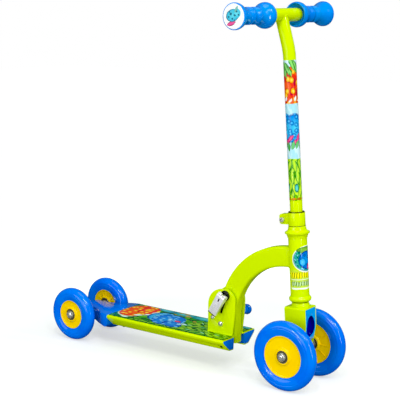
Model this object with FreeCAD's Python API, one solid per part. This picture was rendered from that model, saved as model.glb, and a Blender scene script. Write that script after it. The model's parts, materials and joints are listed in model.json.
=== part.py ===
import FreeCAD, Part
import math
import os

# Child's folding kick scooter with four wheels. Millimetres, +X forward, +Y to the rider's left, +Z up.
# The origin is on the floor, under the middle of the scooter.

V = FreeCAD.Vector

# ---- driving dimensions -------------------------------------------------------------------------
FRONT_WHEEL_R = 60.0
FRONT_HUB_R = 36.0
FRONT_TRACK = 47.5            # centre plane of each front wheel from the middle
FRONT_TYRE_W = 21.5
FRONT_AXLE_X = 233.5
REAR_WHEEL_R = 50.0
REAR_HUB_R = 27.3
REAR_TRACK = 49.0
REAR_TYRE_W = 22.0
REAR_AXLE_X = -243.5

AXLE_R = 4.0
RUNNING = 0.05                # radial clearance of a turning or sliding fit
GAP = 0.3                     # between faces that move past each other
HUB_BOSS_HALF_W = 9.6
BEARING_R = 11.0
BEARING_INNER_FACE = 1.3
BEARING_OUTER_FACE = 8.2

RAKE_DEG = 4.0                # the steering axis leans back
TRAIL = 4.75                  # the front axle sits this far behind the steering axis
STEERER_R = 12.7
STEM_R = 10.5
HEAD_TUBE_R = 15.9
HEAD_TUBE_BORE_R = 13.5
HEAD_TUBE_LOW = 93.3          # heights along the steering axis, from the front axle's level
HEAD_TUBE_HIGH = 192.5
CUP_DROP = 8.8                # height of the lower cup's bead below the head tube
CUP_RISE = 8.4                # and of the upper cup above it
CUP_R = 20.8
HEAD_BADGE_LOW = 106.0
HEAD_BADGE_HIGH = 180.0
CROWN_TOP = 75.4
CROWN_HALF_W = 17.2
CROWN_SHEET = 1.6
CROWN_RING_TOP = CROWN_TOP + 3.2
STEERER_TOP = 233.8
COLLAR_LOW = 212.7
COLLAR_HIGH = 234.8
COLLAR_R = 14.35
STEM_LOW = 110.0
SLEEVE_LOW = 255.5            # printed sleeve on the stem
SLEEVE_HIGH = 486.0
STEM_KINK = 500.0             # the stem bends back here
KINK_DEG = 11.93
KINK_R = 120.0
BAR_HEIGHT = 559.4
BAR_R = 11.0
BAR_HALF = 131.0
GRIP_END = 134.0
GRIP_INNER = 42.0
GRIP_FLANGE_R = 21.2
GRIP_NECK_R = 13.3
BADGE_T = 0.7

DECK_TOP = 61.5
DECK_REAR = -160.0
DECK_FRONT = 107.0
DECK_SHEET = 1.8
DECK_SIDE_TOP = (47.5, 54.9)  # the deck's slanted side, y and z at its two ends
DECK_SIDE_LOW = (32.4, 41.2)
MAT_T = 0.8
MAT_MARGIN = 1.5
CAP_SCREW = (97.5, 0.53)      # x, and how far down the slanted side
PLATE_IN = 12.5               # inner face of each hinge plate from the middle
PLATE_T = 3.0
PLATE_OUT = PLATE_IN + PLATE_T
ARM_HALF_W = 10.0
ARM_CORNER_R = 4.0
ARM_WALL = 2.0
ARM_CENTRE = (214.3, 92.5)    # centre of the neck's quarter bend, x and z
ARM_R_OUT = 142.6
ARM_R_IN = 107.5
ARM_FOOT = 45.2               # length of the upright run below the bend
BUSH_HALF = 12.4
PIVOT = (88.5, 132.5)         # fold axis, x and z
STOP_BOLT = (78.6, 79.8)
SPACER_RIVET = (60.9, 88.4)
PLUNGER = (101.5, 99.6)
PLUNGER_REACH = 10.7          # how far its guide stands off the plate
LEVER_DEG = 60.0              # the closed lever's slope in the plate's plane
CAM_AXIS_Y = -25.9


# ---- small tools --------------------------------------------------------------------------------
def outline(start, *steps):
    """A closed wire in the XZ plane: a step is the next corner, or (point on the arc, arc's end)."""
    def at(p):
        return V(p[0], 0, p[1])
    edges, here = [], start
    for step in steps + (start,):
        if isinstance(step[0], tuple):
            edges.append(Part.Arc(at(here), at(step[0]), at(step[1])).toShape())
            here = step[1]
        elif (V(step[0], 0, step[1]) - at(here)).Length > 1e-6:
            edges.append(Part.LineSegment(at(here), at(step)).toShape())
            here = step
    return Part.Wire(edges)


def slab(wire, y0, y1):
    """An XZ outline given thickness from y0 to y1."""
    return Part.Face(wire).extrude(V(0, y1 - y0, 0)).translated(V(0, y0, 0))


def block(x0, x1, y0, y1, z0, z1):
    return Part.makeBox(x1 - x0, y1 - y0, z1 - z0, V(x0, y0, z0))


def rod_y(x, z, r, y0, y1):
    return Part.makeCylinder(r, y1 - y0, V(x, y0, z), V(0, 1, 0))


def rod_z(r, z0, z1, x=0.0, y=0.0):
    return Part.makeCylinder(r, z1 - z0, V(x, y, z0), V(0, 0, 1))


def ring_z(r_in, r_out, z0, z1):
    return rod_z(r_out, z0, z1).cut(rod_z(r_in, z0 - 1, z1 + 1))


def ring_y(x, z, r_in, r_out, y0, y1):
    return rod_y(x, z, r_out, y0, y1).cut(rod_y(x, z, r_in, y0 - 1, y1 + 1))


def spun_z(start, *steps):
    """An outline of (radius, height) turned about the Z axis."""
    return Part.Face(outline(start, *steps)).revolve(V(0, 0, 0), V(0, 0, 1), 360)


def spun_y(x, y, z, shape_about_z):
    """A shape made about +Z, stood on +Y at the point given."""
    turned = shape_about_z.copy()
    turned.rotate(V(0, 0, 0), V(1, 0, 0), -90)
    turned.translate(V(x, y, z))
    return turned


def steering(shape):
    """From the steering axis's own frame (axis on Z, front axle at height 0) to the scooter's."""
    rake = math.radians(RAKE_DEG)
    foot = V(FRONT_AXLE_X + TRAIL * math.cos(rake), 0, FRONT_WHEEL_R + TRAIL * math.sin(rake))
    moved = shape.copy()
    moved.rotate(V(0, 0, 0), V(0, 1, 0), -RAKE_DEG)
    moved.translate(foot)
    return moved


def mirrored(shape):
    return shape.mirror(V(0, 0, 0), V(0, 1, 0))


def rounded(shape, radius, keep):
    """The shape with the edges that keep(edge) picks rounded."""
    edges = [e for e in shape.Edges if keep(e)]
    return shape.makeFillet(radius, edges)


def hex_y(x, z, across, y0, y1):
    corner = across / math.sqrt(3)
    points = [V(x + corner * math.cos(math.radians(60 * i)), y0,
                z + corner * math.sin(math.radians(60 * i))) for i in range(7)]
    return Part.Face(Part.makePolygon(points)).extrude(V(0, y1 - y0, 0))


def save(name, *solids):
    shape = solids[0] if len(solids) == 1 else Part.makeCompound(list(solids))
    assert shape.Solids and all(s.isValid() and s.Volume > 0 for s in shape.Solids), name
    shape.exportStep(os.path.join("parts", name + ".step"))
    box = shape.BoundBox
    print(f"{name:24s} solids {len(shape.Solids)}  x {box.XMin:7.1f} {box.XMax:7.1f}"
          f"  y {box.YMin:7.1f} {box.YMax:7.1f}  z {box.ZMin:6.1f} {box.ZMax:6.1f}")


# ---- wheels -------------------------------------------------------------------------------------
def tyre(radius, hub_r, width):
    """A rounded solid tyre about +Z."""
    half = width / 2
    seat = half - 2.2
    shoulder = radius - half
    side = (hub_r + (shoulder - hub_r) * 0.5, seat + 2.2 * 0.76)
    crown = (radius - half + half * math.cos(math.pi / 4), half * math.sin(math.pi / 4))
    return spun_z(
        (hub_r, -seat),
        ((side[0], -side[1]), (shoulder, -half)),
        ((crown[0], -crown[1]), (radius, 0)),
        (crown, (shoulder, half)),
        (side, (hub_r, seat)))


def hub(hub_r):
    """A dished plastic hub about +Z with a raised rim line and two bearing seats."""
    half = [
        (hub_r, 8.4), (hub_r - 1.6, 8.4), (hub_r - 2.6, 7.3), (BEARING_R + 4.4, 6.7),
        (BEARING_R + 2.4, HUB_BOSS_HALF_W), (BEARING_R, HUB_BOSS_HALF_W),
        (BEARING_R, BEARING_INNER_FACE), (BEARING_R - 2.0, BEARING_INNER_FACE)]
    below = [(r, -h) for r, h in half]
    return spun_z(*below, *reversed(half))


def bearing(side):
    """One shielded ball bearing about +Z, on the hub's upper (1) or lower (-1) side."""
    inner, outer = BEARING_INNER_FACE, BEARING_OUTER_FACE
    bore = AXLE_R + RUNNING
    points = [(bore, inner), (BEARING_R, inner), (BEARING_R, outer), (9.6, outer), (9.4, outer - 0.5),
              (6.4, outer - 0.5), (6.2, outer), (bore, outer)]
    return spun_z(*[(r, side * h) for r, h in points])


def wheel(name, x, y, radius, hub_r, width):
    save(name + "_tyre", spun_y(x, y, radius, tyre(radius, hub_r, width)))
    save(name + "_hub", spun_y(x, y, radius, hub(hub_r)))
    save(name + "_bearings", *[spun_y(x, y, radius, bearing(s)) for s in (1, -1)])


def axle(name, x, z, track, inner_face):
    """An axle bolt, its two domed nuts and the two sleeves that keep the wheels off the frame."""
    seat = track + BEARING_OUTER_FACE + 0.2
    save(name + "_axle", rod_y(x, z, AXLE_R, -seat - 4.0, seat + 4.0))
    nuts = []
    for side in (1, -1):
        flange = rod_z(7.0, 0, 1.0)
        dome = spun_z((0, 0), (6.6, 0), (6.6, 2.6), ((5.0, 4.4), (0.8, 5.2)), (0, 5.2))
        body = spun_y(x, seat + 1.0, z, dome)
        body = body.common(hex_y(x, z, 12.6, seat + 1.0, seat + 7.0))
        nut = spun_y(x, seat, z, flange).fuse(body)
        nut = nut.cut(rod_y(x, z, AXLE_R, seat - 1, seat + 4.0)).removeSplitter()
        nuts.append(nut if side == 1 else mirrored(nut))
    save(name + "_axle_nuts", *nuts)
    sleeve = ring_y(x, z, AXLE_R + RUNNING, 6.5, inner_face, track - BEARING_OUTER_FACE - 0.2)
    save(name + "_axle_sleeves", sleeve, mirrored(sleeve))


# ---- deck ---------------------------------------------------------------------------------------
def deck_edge(inset):
    """The deck's right-hand section line from the top to the bottom lip, moved inwards by inset."""
    i = inset
    top, lip = DECK_TOP - i, 38.2 + i
    points = [
        V(0, 0, top), V(0, 45.0 - 0.4 * i, top),
        V(0, 48.0 - 0.8 * i, 60.4 - 0.6 * i), V(0, 48.6 - i, 57.3 - 0.1 * i),
        V(0, DECK_SIDE_TOP[0] - 1.1 * i, DECK_SIDE_TOP[1] + 0.2 * i),
        V(0, DECK_SIDE_LOW[0] - 0.66 * i, DECK_SIDE_LOW[1] + 0.75 * i),
        V(0, 30.0 - 0.4 * i, 39.3 + 0.9 * i), V(0, 27.0 - 0.1 * i, 38.6 + i), V(0, 17.0, lip)]
    return [
        Part.LineSegment(points[0], points[1]).toShape(),
        Part.Arc(points[1], points[2], points[3]).toShape(),
        Part.LineSegment(points[3], points[4]).toShape(),
        Part.LineSegment(points[4], points[5]).toShape(),
        Part.Arc(points[5], points[6], points[7]).toShape(),
        Part.LineSegment(points[7], points[8]).toShape()]


def deck_half():
    """The left half of the folded sheet."""
    outer, inner = deck_edge(0.0), deck_edge(DECK_SHEET)
    ends = [
        Part.LineSegment(outer[-1].Vertexes[-1].Point, inner[-1].Vertexes[-1].Point).toShape(),
        Part.LineSegment(inner[0].Vertexes[0].Point, outer[0].Vertexes[0].Point).toShape()]
    face = Part.Face(Part.Wire(outer + [ends[0]] + inner[::-1] + [ends[1]]))
    return face.extrude(V(DECK_FRONT - DECK_REAR, 0, 0)).translated(V(DECK_REAR, 0, 0))


def cap_screw():
    """The left cap's screw, square to the slanted side of the sheet."""
    x, share = CAP_SCREW
    top, low = V(x, *DECK_SIDE_TOP), V(x, *DECK_SIDE_LOW)
    across = (low - top).normalize()
    outward = V(0, -across.z, across.y)
    seat = top + (low - top) * share
    length = 10.0
    shaft = Part.makeCylinder(1.5, length, seat - outward * length, outward)
    return shaft.fuse(Part.makeCylinder(2.4, 1.2, seat, outward)).removeSplitter()


def deck():
    half = deck_half()
    pan = half.fuse(mirrored(half)).removeSplitter()
    pan = pan.cut(block(70.0, DECK_FRONT + 1, -PLATE_IN, PLATE_IN, DECK_TOP - 4, DECK_TOP + 1))
    for side in (1, -1):
        pan = pan.cut(rod_z(2.1, 36, 42, -140.0, side * 22.0))
    screw = cap_screw()
    save("deck_pan", pan.cut(screw).cut(mirrored(screw)))

    mat_half = 45.0
    mat_rear, mat_front = DECK_REAR + MAT_MARGIN, DECK_FRONT - MAT_MARGIN
    mat = block(mat_rear, mat_front, -mat_half, mat_half, DECK_TOP, DECK_TOP + MAT_T)
    mat = rounded(mat, 3.0, lambda e: abs(e.tangentAt(e.FirstParameter).z) > 0.9)
    mat = mat.cut(block(49.0, DECK_FRONT, -18.5, 18.5, DECK_TOP - 1, DECK_TOP + 2))
    save("deck_mat", mat)

    line = deck_edge(DECK_SHEET + 0.15)[1:]
    top = line[0].Vertexes[0].Point
    low = line[-1].Vertexes[-1].Point
    inner_top, inner_low = V(0, 16.6, top.z), V(0, 17.2, low.z)
    line[-1] = Part.LineSegment(line[-1].Vertexes[0].Point, inner_low).toShape()
    closing = [Part.LineSegment(inner_low, inner_top).toShape(), Part.LineSegment(inner_top, top).toShape()]
    cap = Part.Face(Part.Wire(line + closing)).extrude(V(16.0, 0, 0)).translated(V(DECK_FRONT - 15.2, 0, 0))
    cap = cap.cut(screw)
    save("deck_cap_left", cap)
    save("deck_cap_right", mirrored(cap))
    save("cap_screws", screw, mirrored(screw))


# ---- fold hinge ---------------------------------------------------------------------------------
def hinge_plate():
    """The left plate, with a weld bead along its foot."""
    wire = outline(
        (50.5, DECK_TOP), (51.2, 112.0), ((60.5, 134.0), (84.0, 143.2)),
        ((101.5, 139.3), (109.7, 122.0)), (109.2, 103.0), (103.8, DECK_TOP))
    plate = slab(wire, PLATE_IN, PLATE_OUT)
    a, b = V(85.6, 0, 119.1), V(79.4, 0, 100.7)
    slot = rod_y(a.x, a.z, 2.2, 0, 30).fuse(rod_y(b.x, b.z, 2.2, 0, 30))
    run = Part.makeBox((a - b).Length, 30, 4.4, V(0, 0, -2.2))
    run.rotate(V(0, 0, 0), V(0, 1, 0), -math.degrees(math.atan2(a.z - b.z, a.x - b.x)))
    run.translate(b)
    plate = plate.cut(slot.fuse(run))
    plate = plate.cut(rod_y(PIVOT[0], PIVOT[1], 3.1, 0, 30))
    plate = plate.cut(rod_y(STOP_BOLT[0], STOP_BOLT[1], 4.0, 0, 30))
    plate = plate.cut(rod_y(SPACER_RIVET[0], SPACER_RIVET[1], 2.5, 0, 30))
    bead = Part.Face(Part.makePolygon([
        V(50.5, PLATE_OUT, DECK_TOP), V(50.5, PLATE_OUT + 2.4, DECK_TOP),
        V(50.5, PLATE_OUT, DECK_TOP + 2.4), V(50.5, PLATE_OUT, DECK_TOP)])).extrude(V(53.3, 0, 0))
    return plate.fuse(bead).removeSplitter()


def hinge():
    plate = hinge_plate()
    left = plate.cut(rod_y(PLUNGER[0], PLUNGER[1], 3.0 + RUNNING, 0, 30))
    save("hinge_plate_left", left)
    save("hinge_plate_right", mirrored(plate))
    save("hinge_base", block(50.5, 66.0, -PLATE_IN, PLATE_IN, DECK_TOP, DECK_TOP + 3.0))

    x, z = STOP_BOLT
    head = spun_z((0, 0), (4.6, 0), (4.6, 1.4), ((3.4, 3.0), (0.6, 3.8)), (0, 3.8))
    bolt = rod_y(x, z, 4.0, -PLATE_OUT, PLATE_OUT + 5).fuse(mirrored(spun_y(x, PLATE_OUT, z, head)))
    nut = hex_y(x, z, 11.0, PLATE_OUT, PLATE_OUT + 4.5).cut(rod_y(x, z, 4.0, 0, 40))
    save("stop_bolt", bolt.removeSplitter())
    save("stop_bolt_nut", nut)

    x, z = SPACER_RIVET
    head = spun_z((0, 0), (3.9, 0), ((3.0, 1.5), (0.6, 2.1)), (0, 2.1))
    rivet = rod_y(x, z, 2.5, -PLATE_OUT, PLATE_OUT).fuse(rod_y(x, z, 4.0, -PLATE_IN, PLATE_IN))
    rivet = rivet.fuse(spun_y(x, PLATE_OUT, z, head)).fuse(mirrored(spun_y(x, PLATE_OUT, z, head)))
    save("spacer_rivet", rivet.removeSplitter())


def lever_frame(shape):
    """From the lever's frame (U along it, cross pin on Y, outwards -Z) to the scooter's."""
    placed = shape.copy()
    placed.rotate(V(0, 0, 0), V(1, 0, 0), -90)
    placed.rotate(V(0, 0, 0), V(0, 1, 0), 180 - LEVER_DEG)
    placed.translate(V(PIVOT[0], CAM_AXIS_Y, PIVOT[1]))
    return placed


def quick_release():
    """The skewer on the fold axis, its far nut and seat, and the cam lever with its cross pin."""
    x, z = PIVOT
    eye_half, eye_r, pin_r = 3.0, 4.2, 2.0
    seat_top = -19.6
    rod = rod_y(x, z, 3.0, CAM_AXIS_Y, PLATE_OUT + 6.5)
    eye = lever_frame(Part.makeCylinder(eye_r, 2 * eye_half, V(0, -eye_half, 0), V(0, 1, 0)))
    hole = lever_frame(Part.makeCylinder(pin_r + RUNNING, 20, V(0, -10, 0), V(0, 1, 0)))
    save("pivot_skewer", rod.fuse(eye).cut(hole).removeSplitter())
    dome = spun_z((0, 0), (6.6, 0), (6.6, 3.4), ((4.8, 6.4), (0.8, 7.6)), (0, 7.6))
    save("skewer_nut", spun_y(x, PLATE_OUT, z, dome).cut(rod_y(x, z, 3.0, 0, PLATE_OUT + 6.5)))
    height = -seat_top - PLATE_OUT
    seat = spun_z((3.1, 0), (9.2, 0), (9.2, 2.4), (8.2, height), (3.1, height))
    save("cam_seat", mirrored(spun_y(x, PLATE_OUT, z, seat)))

    # the lever's frame: +X towards its tip, Y across it, -Z away from the plate
    length, half_w, wall, head_r = 37.0, 8.2, 1.2, 5.9
    side = outline((0, head_r), ((-head_r, 0), (0, -head_r)), (length, -head_r), (length, -1.6), (6.0, 4.2))
    strap = slab(side, -half_w, half_w)
    inside = block(-20, length - 1.2, -half_w + wall, half_w - wall, -head_r + wall, 20)
    strap = strap.cut(inside)
    strap = strap.cut(Part.makeCylinder(pin_r, 40, V(0, -20, 0), V(0, 1, 0)))
    strap = strap.cut(block(2.8, 9.8, -1.4, 1.4, -head_r - 1, -head_r + 2))
    lobe = Part.makeCylinder(4.9, half_w - wall / 2 - eye_half - 0.2, V(0, eye_half + 0.2, 0.9), V(0, 1, 0))
    lobe = lobe.cut(Part.makeCylinder(pin_r, 40, V(0, -20, 0), V(0, 1, 0)))
    save("release_lever", lever_frame(strap.fuse([lobe, mirrored(lobe)]).removeSplitter()))
    pin = Part.makeCylinder(pin_r, 2 * half_w + 1.0, V(0, -half_w - 0.5, 0), V(0, 1, 0))
    save("release_cross_pin", lever_frame(pin))


def plunger():
    """A spring-loaded locking plunger on the left plate."""
    x, z = PLUNGER
    mouth = PLATE_OUT + PLUNGER_REACH
    guide = ring_y(x, z, 5.6, 7.2, PLATE_OUT, mouth)
    lid = ring_y(x, z, 3.0 + RUNNING, 7.2, mouth, mouth + 1.4)
    save("plunger_guide", guide.fuse(lid).removeSplitter())
    pin = rod_y(x, z, 3.0, PLATE_IN + GAP, mouth + 8.0)
    pin = pin.fuse(rod_y(x, z, 5.1, PLATE_OUT + 0.4, PLATE_OUT + 1.6))
    save("plunger_pin", pin.removeSplitter())
    start = mouth + 1.4 + GAP
    socket = 8.0 - 1.4 - GAP
    knob = spun_z(
        (3.0, 0), (6.2, 0), ((8.6, 1.6), (9.3, 4.6)), ((6.9, 9.4), (0.8, 11.6)), (0, 11.6), (0, socket),
        (3.0, socket))
    save("plunger_knob", spun_y(x, start, z, knob))
    height = mouth - PLATE_OUT - 2.2
    helix = Part.makeHelix(height / 4, height - 0.9, 4.4)
    corners = [V(4.4 + a, 0, b) for a, b in ((-0.3, -0.3), (0.3, -0.3), (0.3, 0.3), (-0.3, 0.3))]
    profile = Part.makePolygon(corners + corners[:1])
    coil = Part.Wire(helix).makePipeShell([profile], True, True)
    save("plunger_spring", spun_y(x, PLATE_OUT + 2.1, z, coil))


# ---- neck ---------------------------------------------------------------------------------------
def arm_profile(inset, overrun):
    """Side outline of the neck arm, moved inwards by inset and past its ends by overrun."""
    cx, cz = ARM_CENTRE
    r_out, r_in = ARM_R_OUT - inset, ARM_R_IN + inset
    half_turn = math.sqrt(0.5)
    nose = 232.0 + overrun
    foot = cz - ARM_FOOT - overrun
    return outline(
        (cx - r_out, foot), (cx - r_out, cz),
        ((cx - r_out * half_turn, cz + r_out * half_turn), (cx, cz + r_out)),
        (nose, cz + r_out), (nose, cz + r_in), (cx, cz + r_in),
        ((cx - r_in * half_turn, cz + r_in * half_turn), (cx - r_in, cz)),
        (cx - r_in, foot))


def neck():
    arm = slab(arm_profile(0, 0), -ARM_HALF_W, ARM_HALF_W)
    arm = rounded(arm, ARM_CORNER_R, lambda e: abs(abs(e.CenterOfMass.y) - ARM_HALF_W) < 0.01
                  and not (e.BoundBox.ZMax < 62) and not (e.BoundBox.XMin > 231))
    inner = ARM_HALF_W - ARM_WALL
    arm = arm.cut(slab(arm_profile(ARM_WALL, 5), -inner, inner))
    head_outer = steering(rod_z(HEAD_TUBE_R, HEAD_TUBE_LOW - 20, HEAD_TUBE_HIGH + 20))
    arm = arm.cut(head_outer)
    arm = max(arm.Solids, key=lambda s: s.Volume)
    bush_r = 4.6
    arm = arm.cut(rod_y(PIVOT[0], PIVOT[1], bush_r, -30, 30))
    sx, sz = STOP_BOLT
    notch = rod_y(sx, sz, 4.0 + GAP, -30, 30).fuse(block(sx - 20, sx, -30, 30, sz - 4.3, sz + 6.4))
    arm = arm.cut(notch)
    arm = arm.cut(rod_y(PLUNGER[0], PLUNGER[1], 3.2, inner - 1.0, 30))
    save("neck_arm", arm)
    save("pivot_bush", ring_y(PIVOT[0], PIVOT[1], 3.0 + RUNNING, bush_r, -BUSH_HALF, BUSH_HALF))

    save("head_tube", steering(ring_z(HEAD_TUBE_BORE_R, HEAD_TUBE_R, HEAD_TUBE_LOW, HEAD_TUBE_HIGH)))
    bore = STEERER_R + RUNNING
    low = HEAD_TUBE_LOW
    cup = spun_z(
        (bore, low - CUP_DROP), (16.6, low - CUP_DROP), ((18.9, low - 4.8), (17.2, low - 1.0)), (16.6, low),
        (HEAD_TUBE_BORE_R, low), (HEAD_TUBE_BORE_R, low + 14), (bore, low + 14))
    save("headset_cup_lower", steering(cup))
    high = HEAD_TUBE_HIGH
    cup = spun_z(
        (bore, high - 14), (HEAD_TUBE_BORE_R, high - 14), (HEAD_TUBE_BORE_R, high), (16.8, high),
        (16.9, high + 1.6), (17.8, high + 3.7), (17.4, high + 4.0), ((18.7, high + 5.8), (CUP_R, high + 7.4)),
        (CUP_R, high + CUP_RISE),
        (bore, high + CUP_RISE))
    save("headset_cup_upper", steering(cup))

    badge = ring_z(HEAD_TUBE_R, HEAD_TUBE_R + 0.3, HEAD_BADGE_LOW, HEAD_BADGE_HIGH)
    badge = badge.common(block(1.0, 30, -30, 30, 100, 190))
    save("head_badge", steering(badge))


# ---- fork ---------------------------------------------------------------------------------------
def crown_outline(inset):
    """Side outline of the fork crown in the steering frame."""
    boss = 14.5 - inset
    ax = -TRAIL
    foot = (ax + boss * math.cos(math.radians(20)), boss * math.sin(math.radians(20)))
    rear_foot = (2 * ax - foot[0], foot[1])
    return outline(
        (-21.7 + inset, CROWN_TOP - inset), (19.4 - inset, CROWN_TOP - inset), (19.1 - inset, 44.0),
        ((16.2 - inset, 27.0), foot), ((ax, -boss), rear_foot),
        ((-21.2 + inset, 26.0), (-21.7 + inset, 46.0)))


def fork():
    crown = slab(crown_outline(0), -CROWN_HALF_W, CROWN_HALF_W)
    crown = rounded(crown, 3.5, lambda e: abs(e.CenterOfMass.z - CROWN_TOP) < 0.05
                    and abs(abs(e.CenterOfMass.y) - CROWN_HALF_W) < 0.05)
    inner = CROWN_HALF_W - CROWN_SHEET
    crown = crown.cut(block(-40, 40, -inner, inner, -40, CROWN_TOP - PLATE_T))
    crown = crown.fuse(ring_z(STEERER_R, 15.4, CROWN_TOP, CROWN_RING_TOP))
    crown = crown.cut(rod_z(STEERER_R, CROWN_TOP - 10, CROWN_TOP + 10))
    crown = crown.cut(rod_y(-TRAIL, 0, AXLE_R, -30, 30)).removeSplitter()
    save("fork_crown", steering(crown))

    tube = ring_z(STEM_R + RUNNING, STEERER_R, CROWN_TOP - PLATE_T, STEERER_TOP)
    tube = tube.cut(block(-20, -5, -1.2, 1.2, STEERER_TOP - 30, STEERER_TOP + 1))
    save("steerer_tube", steering(tube))

    insert = slab(crown_outline(0.3), -inner + 0.1, inner - 0.1)
    insert = insert.common(block(2.0, 30, -20, 20, 17.5, CROWN_TOP - PLATE_T - 0.1))
    oval = Part.Ellipse(V(0, 0, 18.6), V(0, 12.7, 0), V(0, 0, 0))
    window = Part.Face(Part.Wire(oval.toShape())).extrude(V(30, 0, 0)).translated(V(8.5, 0, 41.0))
    insert = insert.cut(window)
    save("crown_insert", steering(insert))

    race_top = HEAD_TUBE_LOW - CUP_DROP - GAP
    race = spun_z(
        (STEERER_R, CROWN_RING_TOP), (15.4, CROWN_RING_TOP),
        ((14.6, CROWN_RING_TOP + 1.5), (14.3, CROWN_RING_TOP + 3.2)),
        (14.3, race_top - 0.7), (14.9, race_top), (STEERER_R, race_top))
    save("headset_race_lower", steering(race))
    base, cap_top = HEAD_TUBE_HIGH + CUP_RISE + GAP, COLLAR_LOW - 0.25
    cap = spun_z(
        (STEERER_R, base), (CUP_R, base), (CUP_R, base + 0.9), ((18.0, base + 2.4), (16.0, base + 4.4)),
        (15.5, base + 4.6), (14.7, cap_top - 1.2), (14.2, cap_top), (STEERER_R, cap_top))
    save("headset_cap", steering(cap))


def stem_clamp():
    """The split collar that grips the steerer on the stem, with its pinch bolt."""
    ears = block(-30.5, -12.0, -6.0, 6.0, COLLAR_LOW + 1.4, COLLAR_HIGH - 3.4)
    ears = rounded(ears, 4.0, lambda e: e.BoundBox.XMax < -30 and e.BoundBox.ZLength < 0.01)
    collar = rod_z(COLLAR_R, COLLAR_LOW, COLLAR_HIGH).fuse(ears)
    collar = collar.cut(rod_z(STEERER_R, COLLAR_LOW - 1, STEERER_TOP))
    collar = collar.cut(rod_z(STEM_R + 0.35, COLLAR_LOW - 1, COLLAR_HIGH + 1))
    collar = collar.cut(block(-40, 0, -1.3, 1.3, COLLAR_LOW - 1, COLLAR_HIGH + 1))
    bolt_x, bolt_h = -24.3, 221.8
    collar = collar.cut(rod_y(bolt_x, bolt_h, 2.6, -30, 30)).removeSplitter()
    save("clamp_collar", steering(collar))
    shape = spun_z((0, 0), (4.4, 0), (4.4, 3.2), ((4.0, 3.9), (3.4, 4.2)), (0, 4.2))
    head = mirrored(spun_y(bolt_x, 6.0, bolt_h, shape))
    socket = hex_y(bolt_x, bolt_h, 4.0, -12.0, -8.0)
    bolt = rod_y(bolt_x, bolt_h, 2.5, -6.5, 11.5).fuse(head).cut(socket)
    save("clamp_bolt", steering(bolt.removeSplitter()))
    nut = hex_y(bolt_x, bolt_h, 8.0, 6.0, 10.5).cut(rod_y(bolt_x, bolt_h, 2.5, 0, 20))
    save("clamp_nut", steering(nut))


# ---- stem, bar and grips ------------------------------------------------------------------------
def stem_path():
    """Centre line of the stem: up the axis, round the kink, then to the handlebar."""
    kink = math.radians(KINK_DEG)
    reach = KINK_R * math.tan(kink / 2)
    start, bend_in = V(0, 0, STEM_LOW), V(0, 0, STEM_KINK - reach)
    bend_out = V(-reach * math.sin(kink), 0, STEM_KINK + reach * math.cos(kink))
    middle = V(-KINK_R * (1 - math.cos(kink / 2)), 0, bend_in.z + KINK_R * math.sin(kink / 2))
    end = V(-(BAR_HEIGHT - STEM_KINK) * math.tan(kink), 0, BAR_HEIGHT)
    wire = Part.Wire([
        Part.LineSegment(start, bend_in).toShape(), Part.Arc(bend_in, middle, bend_out).toShape(),
        Part.LineSegment(bend_out, end).toShape()])
    return wire, end


def grip():
    """The left grip about +Z: a flared inner guard, a ribbed waist and a flared end."""
    neck_r, flange = GRIP_NECK_R, GRIP_FLANGE_R
    rise = flange - neck_r
    waist_in, waist_out = 72.0, 104.0
    inner_top, outer_top = 50.0, 130.5

    def between(a, b, share):
        return a + (b - a) * share
    ribs = []
    for middle in (76.5, 81.0, 95.5, 100.0):
        ribs += [(neck_r, middle - 1.6), ((neck_r + 0.8, middle), (neck_r, middle + 1.6))]
    return spun_z(
        (BAR_R, GRIP_INNER + 7.0), ((14.6, GRIP_INNER + 5.4), (18.0, GRIP_INNER + 0.4)),
        ((19.0, GRIP_INNER), (19.9, GRIP_INNER + 0.6)),
        ((flange - 0.2, between(GRIP_INNER, inner_top, 0.45)), (flange, inner_top - 2.2)),
        ((flange - 0.9, inner_top + 3.0), (flange - rise * 0.5, 58.5)),
        ((neck_r + 0.9, 64.0), (neck_r, waist_in)),
        *ribs, (neck_r, waist_out),
        ((neck_r + 1.3, 112.0), (flange - rise * 0.42, 121.0)),
        ((flange - 1.0, 126.5), (flange, outer_top)),
        (flange, GRIP_END - 1.0), ((flange - 0.3, GRIP_END - 0.3), (flange - 1.0, GRIP_END)),
        (0, GRIP_END), (0, BAR_HALF), (BAR_R, BAR_HALF))


def handlebar():
    path, end = stem_path()
    disc = Part.Wire(Part.makeCircle(STEM_R, V(0, 0, STEM_LOW), V(0, 0, 1)))
    core = Part.Wire(Part.makeCircle(STEM_R - 1.5, V(0, 0, STEM_LOW), V(0, 0, 1)))
    tube = path.makePipeShell([disc], True, True).cut(path.makePipeShell([core], True, True))
    bar_hole = Part.makeCylinder(BAR_R, 80, V(end.x, -40, end.z), V(0, 1, 0))
    tube = max(tube.cut(bar_hole).Solids, key=lambda s: s.Volume)
    save("stem_tube", steering(tube))
    save("stem_sleeve", steering(ring_z(STEM_R, STEM_R + 0.2, SLEEVE_LOW, SLEEVE_HIGH)))

    bar = ring_y(end.x, end.z, BAR_R - 1.5, BAR_R, -BAR_HALF, BAR_HALF)
    save("handlebar_tube", steering(bar))
    left = spun_y(end.x, 0, end.z, grip())
    save("grip_left", steering(left))
    save("grip_right", steering(mirrored(left)))
    badge = spun_z((0, 0), (19.6, 0), (19.6, BADGE_T * 0.4), (19.0, BADGE_T), (0, BADGE_T))
    badge = spun_y(end.x, GRIP_END, end.z, badge)
    save("grip_badges", steering(badge), steering(mirrored(badge)))


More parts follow.
